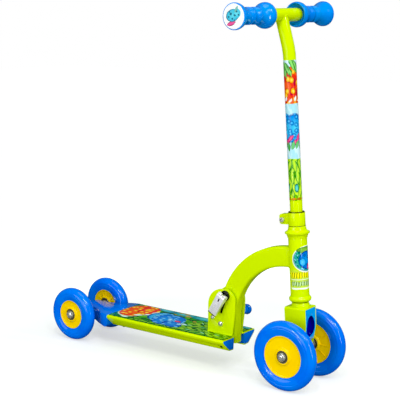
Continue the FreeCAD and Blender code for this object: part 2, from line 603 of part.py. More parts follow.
# ---- rear housing -------------------------------------------------------------------------------
def rear_housing():
    """The moulded tail: as wide as the deck, waisted, and rounded about the rear axle."""
    x_deck, z_axle = DECK_REAR, REAR_WHEEL_R
    end_r = 12.3
    low = 37.0

    def plan(inset):
        def arc(a, b, c):
            return Part.Arc(V(*a, 0), V(*b, 0), V(*c, 0)).toShape()

        def line(a, b):
            return Part.LineSegment(V(*a, 0), V(*b, 0)).toShape()
        i = inset
        left = [(x_deck - i, 48.4 - i), (x_deck - 13 - i, 44.0 - i), (-190.0, 34.5 - i), (-207.0, 24.0 - i),
                (-232.0, 20.0 - i), (-262.0 + i, 20.0 - i)]
        right = [(x, -y) for x, y in left]
        wire = [
            line(right[0], left[0]), arc(left[0], left[1], left[2]), arc(left[2], left[3], left[4]),
            line(left[4], left[5]), line(left[5], right[5]), line(right[5], right[4]),
            arc(right[4], right[3], right[2]), arc(right[2], right[1], right[0])]
        return Part.Face(Part.Wire(wire))
    body = plan(0).extrude(V(0, 0, 40)).translated(V(0, 0, 30))
    ax = REAR_AXLE_X
    side = outline(
        (x_deck, DECK_TOP), (ax, z_axle + 11.5), ((ax - end_r, z_axle - 0.4), (ax, low)), (x_deck - 8.0, low),
        ((x_deck - 2.5, low + 2.5), (x_deck, low + 8.0)))
    body = body.common(slab(side, -60, 60))
    pocket = plan(3.0).extrude(V(0, 0, 20.0)).translated(V(0, 0, 38.0))
    keep = rod_y(ax, z_axle, 9.0, -30, 30).fuse(block(-232, -165, -1.5, 1.5, 30, 70))
    keep = keep.fuse(block(-205.0, -202.0, -60, 60, 30, 70)).fuse(block(-182.0, -179.0, -60, 60, 30, 70))
    keep = keep.fuse(block(-300, ax - 8.0, -60, 60, 30, 70))
    pocket = pocket.fuse(plan(3.0).extrude(V(0, 0, 10)).translated(V(0, 0, 30)))
    body = body.cut(pocket.cut(keep))
    tongue = block(x_deck - 1.0, -122.0, -26.0, 26.0, 40.8, DECK_TOP - DECK_SHEET - 0.2)
    body = body.fuse(tongue)
    body = body.cut(rod_y(ax, z_axle, AXLE_R, -60, 60))
    for side_y in (22.0, -22.0):
        body = body.cut(rod_z(1.6, 38, 52, -140.0, side_y))
    body = max(body.removeSplitter().Solids, key=lambda s: s.Volume)
    save("rear_axle_housing", body)
    screw = spun_z((0, 0), (3.6, 0), ((3.2, -1.4), (0.6, -2.0)), (0, -2.0))
    screws = []
    for side_y in (22.0, -22.0):
        one = screw.translated(V(-140.0, side_y, 38.1)).fuse(rod_z(1.6, 38.1, 51.0, -140.0, side_y))
        screws.append(one.removeSplitter())
    save("housing_screws", *screws)


# ---- the scooter --------------------------------------------------------------------------------
def main():
    os.makedirs("parts", exist_ok=True)
    for old in os.listdir("parts"):
        os.remove(os.path.join("parts", old))
    for side, sign in (("left", 1), ("right", -1)):
        wheel("front_" + side, FRONT_AXLE_X, sign * FRONT_TRACK, FRONT_WHEEL_R, FRONT_HUB_R, FRONT_TYRE_W)
        wheel("rear_" + side, REAR_AXLE_X, sign * REAR_TRACK, REAR_WHEEL_R, REAR_HUB_R, REAR_TYRE_W)
    axle("front", FRONT_AXLE_X, FRONT_WHEEL_R, FRONT_TRACK, CROWN_HALF_W)
    axle("rear", REAR_AXLE_X, REAR_WHEEL_R, REAR_TRACK, 20.0)
    deck()
    hinge()
    quick_release()
    plunger()
    neck()
    fork()
    stem_clamp()
    handlebar()
    rear_housing()


main()
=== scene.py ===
import json
import math

import bpy
import bmesh
from mathutils import Matrix, Vector

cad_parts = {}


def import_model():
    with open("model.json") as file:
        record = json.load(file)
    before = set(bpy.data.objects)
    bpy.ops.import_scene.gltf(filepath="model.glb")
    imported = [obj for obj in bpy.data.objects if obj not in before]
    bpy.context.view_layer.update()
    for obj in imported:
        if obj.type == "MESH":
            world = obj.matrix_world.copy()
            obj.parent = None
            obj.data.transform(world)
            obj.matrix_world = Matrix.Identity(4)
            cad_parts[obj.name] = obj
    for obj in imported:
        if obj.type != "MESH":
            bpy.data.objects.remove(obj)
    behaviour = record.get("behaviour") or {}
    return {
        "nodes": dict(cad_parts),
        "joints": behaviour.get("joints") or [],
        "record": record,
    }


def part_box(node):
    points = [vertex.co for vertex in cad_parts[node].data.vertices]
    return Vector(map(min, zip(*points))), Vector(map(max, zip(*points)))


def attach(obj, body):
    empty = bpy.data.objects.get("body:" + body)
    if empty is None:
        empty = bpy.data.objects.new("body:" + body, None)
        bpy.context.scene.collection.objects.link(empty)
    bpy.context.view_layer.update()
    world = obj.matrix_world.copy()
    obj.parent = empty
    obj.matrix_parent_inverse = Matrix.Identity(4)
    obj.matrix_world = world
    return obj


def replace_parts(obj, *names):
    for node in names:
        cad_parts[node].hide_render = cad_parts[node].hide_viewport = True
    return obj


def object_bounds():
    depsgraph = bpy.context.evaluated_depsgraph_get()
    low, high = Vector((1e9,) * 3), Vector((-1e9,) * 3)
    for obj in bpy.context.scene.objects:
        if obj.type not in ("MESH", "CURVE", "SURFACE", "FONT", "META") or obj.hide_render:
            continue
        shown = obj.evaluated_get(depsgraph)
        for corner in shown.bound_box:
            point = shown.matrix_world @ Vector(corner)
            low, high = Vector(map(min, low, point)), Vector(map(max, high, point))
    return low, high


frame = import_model()
CAD_BOX = [list(corner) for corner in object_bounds()]
NODES = frame["nodes"]
BODY_OF = {n: body for body, members in frame["record"]["behaviour"]["bodies"].items() for n in members}
MM = 0.001
RINGS = 144                      # divisions round a turned piece
STAMPED_EDGE, PRESSED_EDGE, MOULDED_EDGE = 0.3, 0.45, 0.6      # millimetres of rounding
SIDES = (("left", 1), ("right", -1))
ENDS = ("front", "rear")


# ---- places taken from the frame ----
def joint(name):
    return next(j for j in frame["joints"] if j["name"] == name)


def middle(node):
    low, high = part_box(node)
    return (low + high) / 2


STEER = joint("steer")
STEER_AXIS = Vector(STEER["axis"]).normalized()
STEER_POINT = Vector(STEER["pos_m"])
STEER_FOOT = STEER_POINT + STEER_AXIS * (middle("front_axle") - STEER_POINT).dot(STEER_AXIS)
RAKE = math.asin(-STEER_AXIS.x)
STEERING = Matrix.Translation(STEER_FOOT) @ Matrix.Rotation(-RAKE, 4, "Y")


def span(node, frame_matrix=STEERING):
    """Lowest and highest corner of a CAD node in another frame, such as the steering axis's own."""
    inverse = frame_matrix.inverted()
    points = [inverse @ v.co for v in NODES[node].data.vertices]
    return [Vector(pick(p[i] for p in points) for i in range(3)) for pick in (min, max)]


def halves(box):
    """Half of a box's size along each axis, in millimetres, from its lowest and highest corner."""
    return [(high - low) / 2 / MM for low, high in zip(*box)]


def bar_centre():
    """The middle of the handlebar in the steering axis's own frame."""
    low, high = span("handlebar_tube")
    return Vector(((low.x + high.x) / 2, 0, (low.z + high.z) / 2))


def facing(centre, sign):
    """Local Z stands on the scooter's left (1) or right (-1) side."""
    return Matrix.Translation(centre) @ Matrix.Rotation(-sign * math.pi / 2, 4, "X")


# ---- mesh helpers ----
def added(name, data):
    obj = bpy.data.objects.new(name, data)
    bpy.context.scene.collection.objects.link(obj)
    return obj


def piece(name, vertices, faces, material, body, slot, sharp=40.0):
    mesh = bpy.data.meshes.new(name)
    mesh.from_pydata([tuple(v) for v in vertices], [], faces)
    return finished(mesh, name, material, body, slot, sharp)


def finished(mesh, name, material, body, slot, sharp=40.0):
    """Closes off a new mesh: outward faces, smooth shading with hard edges kept, its place and finish."""
    form = bmesh.new()
    form.from_mesh(mesh)
    bmesh.ops.recalc_face_normals(form, faces=form.faces)
    form.to_mesh(mesh)
    form.free()
    mesh.polygons.foreach_set("use_smooth", [True] * len(mesh.polygons))
    mesh.set_sharp_from_angle(angle=math.radians(sharp))
    mesh.materials.clear()
    mesh.materials.append(material)
    obj = added(name, mesh)
    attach(obj, body)
    return obj


def arc(a, b, c, steps):
    """Points after a on the circle through a, b and c."""
    (ax, ay), (bx, by), (cx, cy) = a, b, c
    d = 2 * (ax * (by - cy) + bx * (cy - ay) + cx * (ay - by))
    aa, bb, cc = ax * ax + ay * ay, bx * bx + by * by, cx * cx + cy * cy
    ux = (aa * (by - cy) + bb * (cy - ay) + cc * (ay - by)) / d
    uy = (aa * (cx - bx) + bb * (ax - cx) + cc * (bx - ax)) / d
    radius = math.hypot(ax - ux, ay - uy)
    first = math.atan2(ay - uy, ax - ux)
    middle_turn = (math.atan2(by - uy, bx - ux) - first) % (2 * math.pi)
    turn = (math.atan2(cy - uy, cx - ux) - first) % (2 * math.pi)
    if middle_turn > turn:
        turn -= 2 * math.pi
    turns = [first + turn * i / steps for i in range(1, steps + 1)]
    return [(ux + radius * math.cos(t), uy + radius * math.sin(t)) for t in turns]


def outline(start, *moves, steps=8):
    """A line of points: each move is a point, or an arc as (point on the way, end)."""
    points = [start]
    for move in moves:
        points += arc(points[-1], *move, steps) if isinstance(move[0], tuple) else [move]
    return points


def eased(points, radius, steps=4):
    """The closed outline with each corner rounded by up to radius."""
    nearly_straight = math.radians(155)
    result = []
    count = len(points)
    for i, corner in enumerate(points):
        here = Vector(corner)
        back, ahead = Vector(points[i - 1]) - here, Vector(points[(i + 1) % count]) - here
        if back.length < 1e-9 or ahead.length < 1e-9 or back.angle(ahead) > nearly_straight:
            result.append(corner)
            continue
        cut = min(radius, back.length * 0.45, ahead.length * 0.45)
        a, b = here + back.normalized() * cut, here + ahead.normalized() * cut
        for k in range(steps + 1):
            t = k / steps
            result.append(tuple(a * (1 - t) ** 2 + here * 2 * t * (1 - t) + b * t ** 2))
    return result


def revolved(profile, place, closed=True, rings=RINGS):
    """Vertices and faces of an outline of (radius, height) in millimetres, turned about the place's Z."""
    vertices, loops = [], []
    for radius, height in profile:
        if radius < 1e-6:
            vertices.append(place @ Vector((0, 0, height * MM)))
            loops.append([len(vertices) - 1] * rings)
            continue
        loops.append(list(range(len(vertices), len(vertices) + rings)))
        for k in range(rings):
            turn = 2 * math.pi * k / rings
            x, y = radius * MM * math.cos(turn), radius * MM * math.sin(turn)
            vertices.append(place @ Vector((x, y, height * MM)))
    faces = []
    for low, high in zip(loops, loops[1:] + (loops[:1] if closed else [])):
        for k in range(rings):
            n = (k + 1) % rings
            face = [low[k], low[n], high[n], high[k]]
            face = [v for i, v in enumerate(face) if v != face[i - 1]]
            if len(face) > 2:
                faces.append(face)
    return vertices, faces


def turned(name, profile, place, material, body, slot, sharp, **how):
    return piece(name, *revolved(profile, place, **how), material, body, slot, sharp)


def tube_along(path, radius, closed, sides=10):
    """Vertices and faces of a round bead along a path, its radius given per point."""
    off_axis = Vector((0.31, 0.17, 0.94))
    count = len(path)
    vertices, faces = [], []
    for i, point in enumerate(path):
        ahead = path[(i + 1) % count] if closed or i < count - 1 else point
        behind = path[i - 1] if closed or i > 0 else point
        along = (ahead - behind).normalized()
        side = along.cross(off_axis).normalized()
        up = side.cross(along)
        for k in range(sides):
            turn = 2 * math.pi * k / sides
            vertices.append(point + (side * math.cos(turn) + up * math.sin(turn)) * radius[i])
    for i in range(count if closed else count - 1):
        n = (i + 1) % count
        for k in range(sides):
            m = (k + 1) % sides
            faces.append([i * sides + k, i * sides + m, n * sides + m, n * sides + k])
    if not closed:
        faces += [list(range(sides)), list(range((count - 1) * sides, count * sides))]
    return vertices, faces


def prism(name, points, place, low, high, material, body, slot):
    """A flat outline in millimetres of the place's X and Y, given thickness along its Z."""
    count = len(points)
    vertices = [place @ (Vector((x, y, z)) * MM) for z in (low, high) for x, y in points]
    faces = [list(range(count)), list(range(count, 2 * count))]
    faces += [[i, (i + 1) % count, count + (i + 1) % count, count + i] for i in range(count)]
    return piece(name, vertices, faces, material, body, slot, 40)


def softened(node, width, material, slot):
    """The CAD node's own shape with its hard edges rounded by width millimetres."""
    flat, sharp = math.radians(0.6), math.radians(30)
    mesh = NODES[node].data.copy()
    form = bmesh.new()
    form.from_mesh(mesh)
    bmesh.ops.remove_doubles(form, verts=form.verts, dist=1e-6)
    bmesh.ops.dissolve_limit(form, angle_limit=flat, verts=form.verts, edges=form.edges)
    hard = [e for e in form.edges
            if len(e.link_faces) == 2 and e.calc_face_angle(0) > sharp]
    bmesh.ops.bevel(form, geom=hard, offset=width * MM, offset_type="OFFSET", segments=2, profile=0.5,
                    affect="EDGES", clamp_overlap=True)
    form.to_mesh(mesh)
    form.free()
    if "custom_normal" in mesh.attributes:
        mesh.attributes.remove(mesh.attributes["custom_normal"])
    obj = finished(mesh, node + "_finish", material, BODY_OF[node], slot)
    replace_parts(obj, node)
    return obj


# ---- material helpers ----
def srgb(code):
    """A colour written as 0xRRGGBB, in the shader's linear values."""
    def linear(value):
        value /= 255
        return value / 12.92 if value <= 0.04045 else ((value + 0.055) / 1.055) ** 2.4
    return (*(linear(code >> shift & 255) for shift in (16, 8, 0)), 1.0)


class Nodes:
    """Short calls that build a node tree."""

    def __init__(self, tree):
        self.tree = tree

    def put(self, socket, value):
        if isinstance(value, bpy.types.NodeSocket):
            self.tree.links.new(value, socket)
        else:
            socket.default_value = value

    def node(self, kind, settings=None, **inputs):
        made = self.tree.nodes.new("ShaderNode" + kind)
        for key, value in (settings or {}).items():
            setattr(made, key, value)
        for key, value in inputs.items():
            self.put(made.inputs[key], value)
        return made

    def math(self, operation, a, b=0.0, c=0.0):
        made = self.node("Math", {"operation": operation})
        for socket, value in zip(made.inputs, (a, b, c)):
            self.put(socket, value)
        return made.outputs[0]

    def times(self, a, b):
        return self.math("MULTIPLY", a, b)

    def minus(self, a, b):
        return self.math("SUBTRACT", a, b)

    def times_plus(self, a, b, c):
        return self.math("MULTIPLY_ADD", a, b, c)

    def vector(self, operation, a, b=(0, 0, 0)):
        made = self.node("VectorMath", {"operation": operation})
        self.put(made.inputs[0], a)
        self.put(made.inputs[1], b)
        return made.outputs["Value" if operation == "LENGTH" else "Vector"]

    def mix(self, share, a, b):
        """A colour between a and b."""
        made = self.node("Mix", {"data_type": "RGBA"})
        for index, value in ((0, share), (6, a), (7, b)):
            self.put(made.inputs[index], value)
        return made.outputs[2]

    def between(self, share, a, b):
        """A number between a and b."""
        made = self.node("Mix")
        for index, value in ((0, share), (2, a), (3, b)):
            self.put(made.inputs[index], value)
        return made.outputs[0]

    def range(self, value, low, high, to_low=0.0, to_high=1.0):
        made = self.node("MapRange", {"interpolation_type": "SMOOTHSTEP"})
        for socket, number in zip(made.inputs, (value, low, high, to_low, to_high)):
            self.put(socket, number)
        return made.outputs[0]


class Material(Nodes):
    """A material's nodes, with its shader."""

    def __init__(self, name):
        self.material = bpy.data.materials.new(name)
        self.material.use_nodes = True
        super().__init__(self.material.node_tree)
        self.shader = self.tree.nodes["Principled BSDF"]

    def place(self):
        """Position in the scooter's own frame, which stays with the piece as it moves."""
        return self.node("TexCoord").outputs["Object"]

    def noise(self, scale, detail=3.0, where=None):
        made = self.node("TexNoise", Vector=where or self.place(), Scale=scale, Detail=detail)
        return made.outputs[0]

    def uneven(self, scale, low, high):
        """A number that drifts between low and high over the surface."""
        return self.range(self.noise(scale, 4.0), 0.3, 0.7, low, high)

    def bump(self, height, strength, distance, normal=None):
        made = self.node("Bump", Height=height, Strength=strength, Distance=distance)
        if normal:
            self.put(made.inputs["Normal"], normal)
        return made.outputs["Normal"]

    def finish(self, **values):
        """Sets the shader's sockets; words in names are joined by underscores."""
        for key, value in values.items():
            self.put(self.shader.inputs[key.replace("_", " ")], value)
        return self.material


LIME = srgb(0xCDE900)
LIME_DEEP = srgb(0xB4E400)
BLUE = srgb(0x007AF0)
BLUE_DEEP = srgb(0x0068E8)
YELLOW = srgb(0xFFD600)


def lime_paint():
    m = Material("lime_paint_gloss")
    cloud = m.range(m.noise(9.0, 3.0), 0.35, 0.65)
    speck = m.range(m.noise(2600.0, 2.0), 0.62, 0.78, 0.0, 0.25)
    colour = m.mix(cloud, LIME, srgb(0xD2EC00))
    colour = m.mix(speck, colour, LIME_DEEP)
    peel = m.noise(700.0, 2.0)
    rough = m.uneven(60.0, 0.2, 0.3)
    return m.finish(Base_Color=colour, Roughness=rough, Normal=m.bump(peel, 0.1, 0.0004),
                    Specular_IOR_Level=0.1, Coat_Weight=0.25, Coat_Roughness=0.05)


def moulded(name, light, deep, roughness, grain=1500.0):
    """Glossy moulded plastic with a faint grain, flow marks and shallow sink marks."""
    m = Material(name)
    flow = m.uneven(24.0, 0.0, 1.0)
    colour = m.mix(flow, light, deep)
    rough = m.uneven(90.0, roughness - 0.04, roughness + 0.05)
    normal = m.bump(m.noise(42.0, 1.0), 0.03, 0.001)
    normal = m.bump(m.noise(grain, 2.0), 0.04, 0.0002, normal)
    return m.finish(Base_Color=colour, Roughness=rough, Normal=normal, Specular_IOR_Level=0.1,
                    Coat_Weight=0.8, Coat_Roughness=0.07)


def metal(name, colour, dark, roughness, metallic, brush=(1, 1, 1), scale=400.0):
    """Plated or brushed metal: a cloudy plating, fine scratches along brush, worn tone."""
    m = Material(name)
    where = m.vector("MULTIPLY", m.place(), brush)
    cloud = m.range(m.noise(120.0, 4.0), 0.35, 0.7)
    fine = m.noise(scale, 3.0, where)
    shade = m.mix(m.times(cloud, 0.5), colour, dark)
    rough = m.range(fine, 0.3, 0.7, roughness - 0.06, roughness + 0.1)
    return m.finish(Base_Color=shade, Metallic=metallic, Roughness=rough,
                    Normal=m.bump(fine, 0.1, 0.0002))


def bearing_faces():
    """A steel ring pair with a dark rubber seal between them, by distance from the axle."""
    m = Material("bearing_steel_and_seal")
    own = m.node("TexCoord").outputs["Generated"]
    flat = m.vector("MULTIPLY", m.vector("SUBTRACT", own, (0.5, 0.5, 0.5)), (2.0, 0.0, 2.0))
    reach = m.vector("LENGTH", flat)
    seal = m.times(m.range(reach, 0.57, 0.59), m.range(reach, 0.87, 0.85))
    worn = m.range(m.noise(900.0, 3.0), 0.3, 0.7)
    steel = m.mix(worn, srgb(0xCDCDCD), srgb(0xA09E98))
    colour = m.mix(seal, steel, srgb(0x545038))
    return m.finish(Base_Color=colour, Metallic=m.minus(1.0, seal),
                    Roughness=m.range(seal, 0.0, 1.0, 0.25, 0.55))


# ---- printed artwork ----
class Artwork(Material):
    """A print: shapes laid over one another in millimetres of u and v."""

    def lay_out(self, u, v, wobble, wobble_scale, ground=None):
        """Sets u and v, shaken by wobble millimetres so that edges look drawn by hand."""
        where = self.node("CombineXYZ", X=u, Y=v, Z=0.0).outputs[0]
        shift = self.node("TexNoise", Vector=where, Scale=wobble_scale, Detail=3.0).outputs["Color"]
        shift = self.vector("SUBTRACT", shift, (0.5, 0.5, 0.5))
        shift = self.vector("MULTIPLY", shift, (2 * wobble, 2 * wobble, 0))
        self.where = self.vector("ADD", where, shift)
        parts = self.node("SeparateXYZ", Vector=self.where)
        self.u, self.v = parts.outputs["X"], parts.outputs["Y"]
        self.colour = ground

    def mix(self, share, a, b):
        """A print's plain colours are written as 0xRRGGBB."""
        plain = [srgb(colour) if isinstance(colour, int) else colour for colour in (a, b)]
        return super().mix(share, *plain)

    def over(self, share, colour):
        self.colour = self.mix(share, self.colour, colour)

    def below(self, value, limit, soft):
        """A share for mix(): over 1 where value is under limit, below 0 where it is over."""
        return self.times_plus(value, -1 / soft, limit / soft + 0.5)

    def either(self, *shares):
        """The union of several shares."""
        joined = shares[0]
        for share in shares[1:]:
            joined = self.math("MAXIMUM", joined, share)
        return joined

    def paint(self, reach, colour, edge, core, line, soft, region=None):
        """Paints where reach is under 1: an inked edge, the body and a lighter core. Returns the share."""
        if core is not None:
            colour = self.mix(self.below(reach, 0.42, 0.8), colour, core)
        if edge is not None:
            colour = self.mix(self.below(reach, 1 - line, soft), edge, colour)
        inside = self.below(reach, 1.0, soft)
        if region:
            inside = self.math("MINIMUM", inside, region)
        self.over(inside, colour)
        return inside

    def reach(self, x, y, leaf):
        """1 on the edge of a unit round spot, or of a unit leaf along x, and less inside."""
        squared = self.times(x, x)
        if leaf:
            room = self.math("MAXIMUM", self.minus(1.0, squared), 0.001)
            return self.math("DIVIDE", self.math("ABSOLUTE", y), room)
        return self.math("SQRT", self.times_plus(y, y, squared))

    def placed(self, at, size, turn):
        """A shape's own two coordinates, turned by turn degrees and 1 at its ends."""
        c, s = math.cos(math.radians(turn)), math.sin(math.radians(turn))
        if not turn:
            return [self.times_plus(axis, 1 / reach, -middle / reach)
                    for axis, middle, reach in zip((self.u, self.v), at, size)]
        own = []
        for a, b, reach in ((c, s, size[0]), (-s, c, size[1])):
            first = self.times_plus(self.u, a / reach, -(a * at[0] + b * at[1]) / reach)
            own.append(self.times_plus(self.v, b / reach, first))
        return own

    def spot(self, at, size, colour, edge=None, core=None, turn=0.0, line=0.12, soft=0.05):
        reach = self.reach(*self.placed(at, size, turn), False)
        return self.paint(reach, colour, edge, core, line, soft)

    def leaf(self, at, size, colour, edge=None, core=None, turn=0.0, line=0.25, soft=0.12):
        reach = self.reach(*self.placed(at, size, turn), True)
        return self.paint(reach, colour, edge, core, line, soft)

    def area(self, at, size):
        """The share of a soft-edged round area, to limit other shapes to it."""
        return self.below(self.reach(*self.placed(at, size, 0), False), 1.0, 0.05)

    def areas(self, *spreads):
        return self.either(*[self.area(*spread) for spread in spreads])

    def band(self, low, high, soft=1.0):
        """The share of a band between two heights."""
        away = self.math("ABSOLUTE", self.minus(self.v, (low + high) / 2))
        return self.below(away, (high - low) / 2, soft)

    def dots(self, region, pitch, size, colour, core=None, stretch=(1.0, 1.0), shift=0.0):
        """Scattered dots, pitch millimetres apart, inside a region."""
        where = self.vector("MULTIPLY", self.where, (stretch[0] / pitch, stretch[1] / pitch, 0))
        where = self.vector("ADD", where, (shift, shift, 0))
        away = self.node("TexVoronoi", {"voronoi_dimensions": "2D"}, Vector=where, Scale=1.0,
                         Randomness=0.75).outputs["Distance"]
        self.over(self.math("MINIMUM", self.below(away, size, 0.1), region), colour)
        if core is not None:
            self.over(self.math("MINIMUM", self.below(away, size * 0.5, 0.1), region), core)

    def leaves(self, pitch, size, tones, start=(0, 0), turn=0.0, sway=0.0, jitter=0.0, seed=0.0,
               edge=None, core=None, line=0.25, soft=0.12, leaf=True, region=None):
        """Leaves or spots side by side along u, each with its own lean, rise and one of two tones.
        With a second pitch the rows repeat along v, each shifted by half a pitch."""
        along = self.times_plus(self.u, 1 / pitch[0], -start[0] / pitch[0])
        y = self.minus(self.v, start[1])
        key = seed + 0.37
        if len(pitch) > 1:
            up = self.times(y, 1 / pitch[1])
            level = self.math("FLOOR", up)
            y = self.times_plus(self.minus(up, level), pitch[1], -pitch[1] / 2)
            along = self.times_plus(level, 0.5, along)
            key = self.times_plus(level, 17.3, key)
        cell = self.math("FLOOR", along)
        chance = self.node("TexWhiteNoise", {"noise_dimensions": "1D"}, W=self.math("ADD", cell, key))
        chance = chance.outputs["Value"]
        other = self.math("FRACT", self.times(chance, 7.31))
        x = self.times_plus(self.minus(along, cell), pitch[0], -pitch[0] / 2)
        y = self.math("ADD", y, self.times_plus(other, -2 * jitter, jitter))
        lean = self.times_plus(chance, 2 * math.radians(sway), math.radians(turn - sway))
        c, s = self.math("COSINE", lean), self.math("SINE", lean)
        own_x = self.times_plus(y, s, self.times(x, c))
        own_y = self.minus(self.times(y, c), self.times(x, s))
        reach = self.reach(self.times(own_x, 1 / size[0]), self.times(own_y, 1 / size[1]), leaf)
        tone = self.mix(self.math("ROUND", other), *tones)
        return self.paint(reach, tone, edge, core, line, soft, region)

    def cells(self, scale, colours, line, ink, stretch=(1, 1, 1)):
        """Leafy cells of several colours parted by ink lines, as the ground of the print."""
        where = self.vector("MULTIPLY", self.where, stretch)
        edge, tone = (self.node("TexVoronoi", {"feature": feature}, Vector=where, Scale=scale).outputs
                      for feature in ("DISTANCE_TO_EDGE", "F1"))
        edge, tone = edge[0], tone["Color"]
        pick = self.node("SeparateColor", Color=tone).outputs[0]
        colour = colours[0]
        for i, other in enumerate(colours[1:], 1):
            colour = self.mix(self.math("GREATER_THAN", pick, i / len(colours)), colour, other)
        self.colour = self.mix(self.range(edge, line, line * 2.2), ink, colour)

    def varnish(self, roughness=0.16):
        """A clear gloss over the finished print."""
        dots = self.noise(2400.0, 1.0)
        rough = self.uneven(70.0, roughness - 0.04, roughness + 0.06)
        return self.finish(Base_Color=self.colour, Roughness=rough, Specular_IOR_Level=0.16,
                           Coat_Weight=0.15, Coat_Roughness=0.05, Normal=self.bump(dots, 0.05, 0.0002))


def steering_uv(art, radius):
    """u runs round the steering axis from the front in millimetres, v is the height along it."""
    placed = art.node("Mapping", {"vector_type": "TEXTURE"}, Vector=art.place(),
                      Location=tuple(STEER_FOOT), Rotation=(0, -RAKE, 0))
    parts = art.node("SeparateXYZ", Vector=placed.outputs[0])
    turn = art.math("ARCTAN2", parts.outputs["Y"], parts.outputs["X"])
    return art.times(turn, radius), art.times(parts.outputs["Z"], 1 / MM)


def deck_print():
    """Generic jungle-floor print: an orange mound with yellow spots, a blue pool, leaves and moss."""
    art = Artwork("deck_print_gloss")
    parts = art.node("SeparateXYZ", Vector=art.place())
    u, v = (art.times(parts.outputs[axis], 1 / MM) for axis in ("X", "Y"))
    art.lay_out(u, v, 3.0, 0.09)
    greens = [0x269614, 0x3CAA1E, 0x187818, 0x60B018, 0x146428]
    art.cells(0.085, greens, 0.035, 0x085418, stretch=(1.0, 1.5, 1))
    white = 0xECFAFC

    # far edge: water and sky tones, then olive and brown tufts
    far = art.area((0, 52), (125, 26))
    art.leaves((46,), (29, 11), (0x008C96, 0x007096), start=(-110, 39), jitter=3, seed=2,
               edge=0x005C60, core=0x5ACDD7, line=0.1, leaf=False, region=far)
    art.leaves((17, 15), (8.3, 5.0), (0x8C7810, 0xA88C28), start=(-62, 6), turn=12, sway=26,
               jitter=3, edge=0x463C0A, core=0xD0AA3C,
               region=art.areas(((-44, 36), (26, 8)), ((20, 12), (24, 12))))

    # foliage: interleaved leaves, thicker towards the front and along the near edge
    wood = art.areas(((64, -6), (66, 44)), ((-66, -41), (36, 8)), ((0, -32), (34, 18)))
    tones = ((0x54B418, 0x269618), (0x96CD28, 0x148228))
    for i in range(2):
        art.leaves((19, 12.5), (9.6, 4.3), tones[i], start=(5 + 9 * i, -45 + 6 * i), turn=10 - 26 * i,
                   sway=22, jitter=2.0, seed=i, edge=0x065418, core=0x96CE32, region=wood)
    art.leaves((31, 22), (7.5, 1.5), (0x96E2AA, 0x60C496), start=(3, -42), turn=-8, sway=30,
               jitter=2.0, seed=20, edge=0x1E8C5A, region=wood)

    # orange mound with its pale rim and yellow spots
    for at, size, turn in (((-131, 5), (29.8, 39.6), -6), ((-112, 16), (22.4, 27.6), 20)):
        art.spot(at, size, 0xD6F0D6, turn=turn)
    mound = art.either(*[
        art.spot(at, size, colour, edge=0xA01806, core=core, turn=turn, line=line)
        for at, size, colour, core, turn, line in (
            ((-131, 6), (28.5, 38), 0xF03E0A, 0xFF6810, -6, 0.06),
            ((-112, 18), (21, 26), 0xE82818, 0xF6543C, 20, 0.08))])
    art.dots(mound, 14.0, 0.36, 0xD64600, stretch=(1.0, 1.2))
    art.dots(mound, 14.0, 0.30, 0xFFB00A, core=0xFFE03C, stretch=(1.0, 1.2))
    for x, y, turn in ((-112, -14, 30), (-96, -2, 10), (-128, -36, 0), (-93, 14, 60)):
        art.leaf((x, y), (9, 3.6), white, edge=0x96D2BE, turn=turn)

    # blue pool with ripples
    pool = art.either(*[
        art.spot(at, size, colour, edge=0x00348C, core=core, turn=turn, line=line)
        for at, size, colour, core, turn, line in (
            ((-70, 2), (26, 25), 0x14A0E1, 0x6ED2F0, 30, 0.12),
            ((-46, -6), (34, 31), 0x0074D6, 0x1496EB, -14, 0.07),
            ((-26, -22), (22, 16), 0x0A64CD, 0x2896E6, -20, 0.12))])
    art.dots(pool, 12.0, 0.30, 0x0054C4, stretch=(0.55, 1.5))
    art.dots(pool, 12.0, 0.22, 0x78CDFA, stretch=(0.55, 1.5))
    art.spot((-44, -3), (5.5, 5.5), 0x50BEF5, edge=0x003CA0, core=white)
    art.leaf((-27, -4), (8, 4.5), 0xD61E60, edge=0x6E0A46, core=0xF05A82, turn=-15)
    for x, y, turn in ((-13, -14, 40), (-6, -11, -10)):
        art.leaf((x, y), (8, 3.4), 0xCDEEF6, edge=0x3C96AA, turn=turn)

    # a dark printed margin all round
    size_low, size_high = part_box("deck_mat")
    centre, half = (size_low + size_high) / 2 / MM, (size_high - size_low) / 2 / MM
    from_end = art.minus(half.x, art.math("ABSOLUTE", art.minus(u, centre.x)))
    from_side = art.minus(half.y, art.math("ABSOLUTE", v))
    margin = art.range(art.math("MINIMUM", from_end, from_side), 1.2, 2.0, 1.0, 0.0)
    art.over(margin, 0x0A6028)
    return art.varnish(0.2)


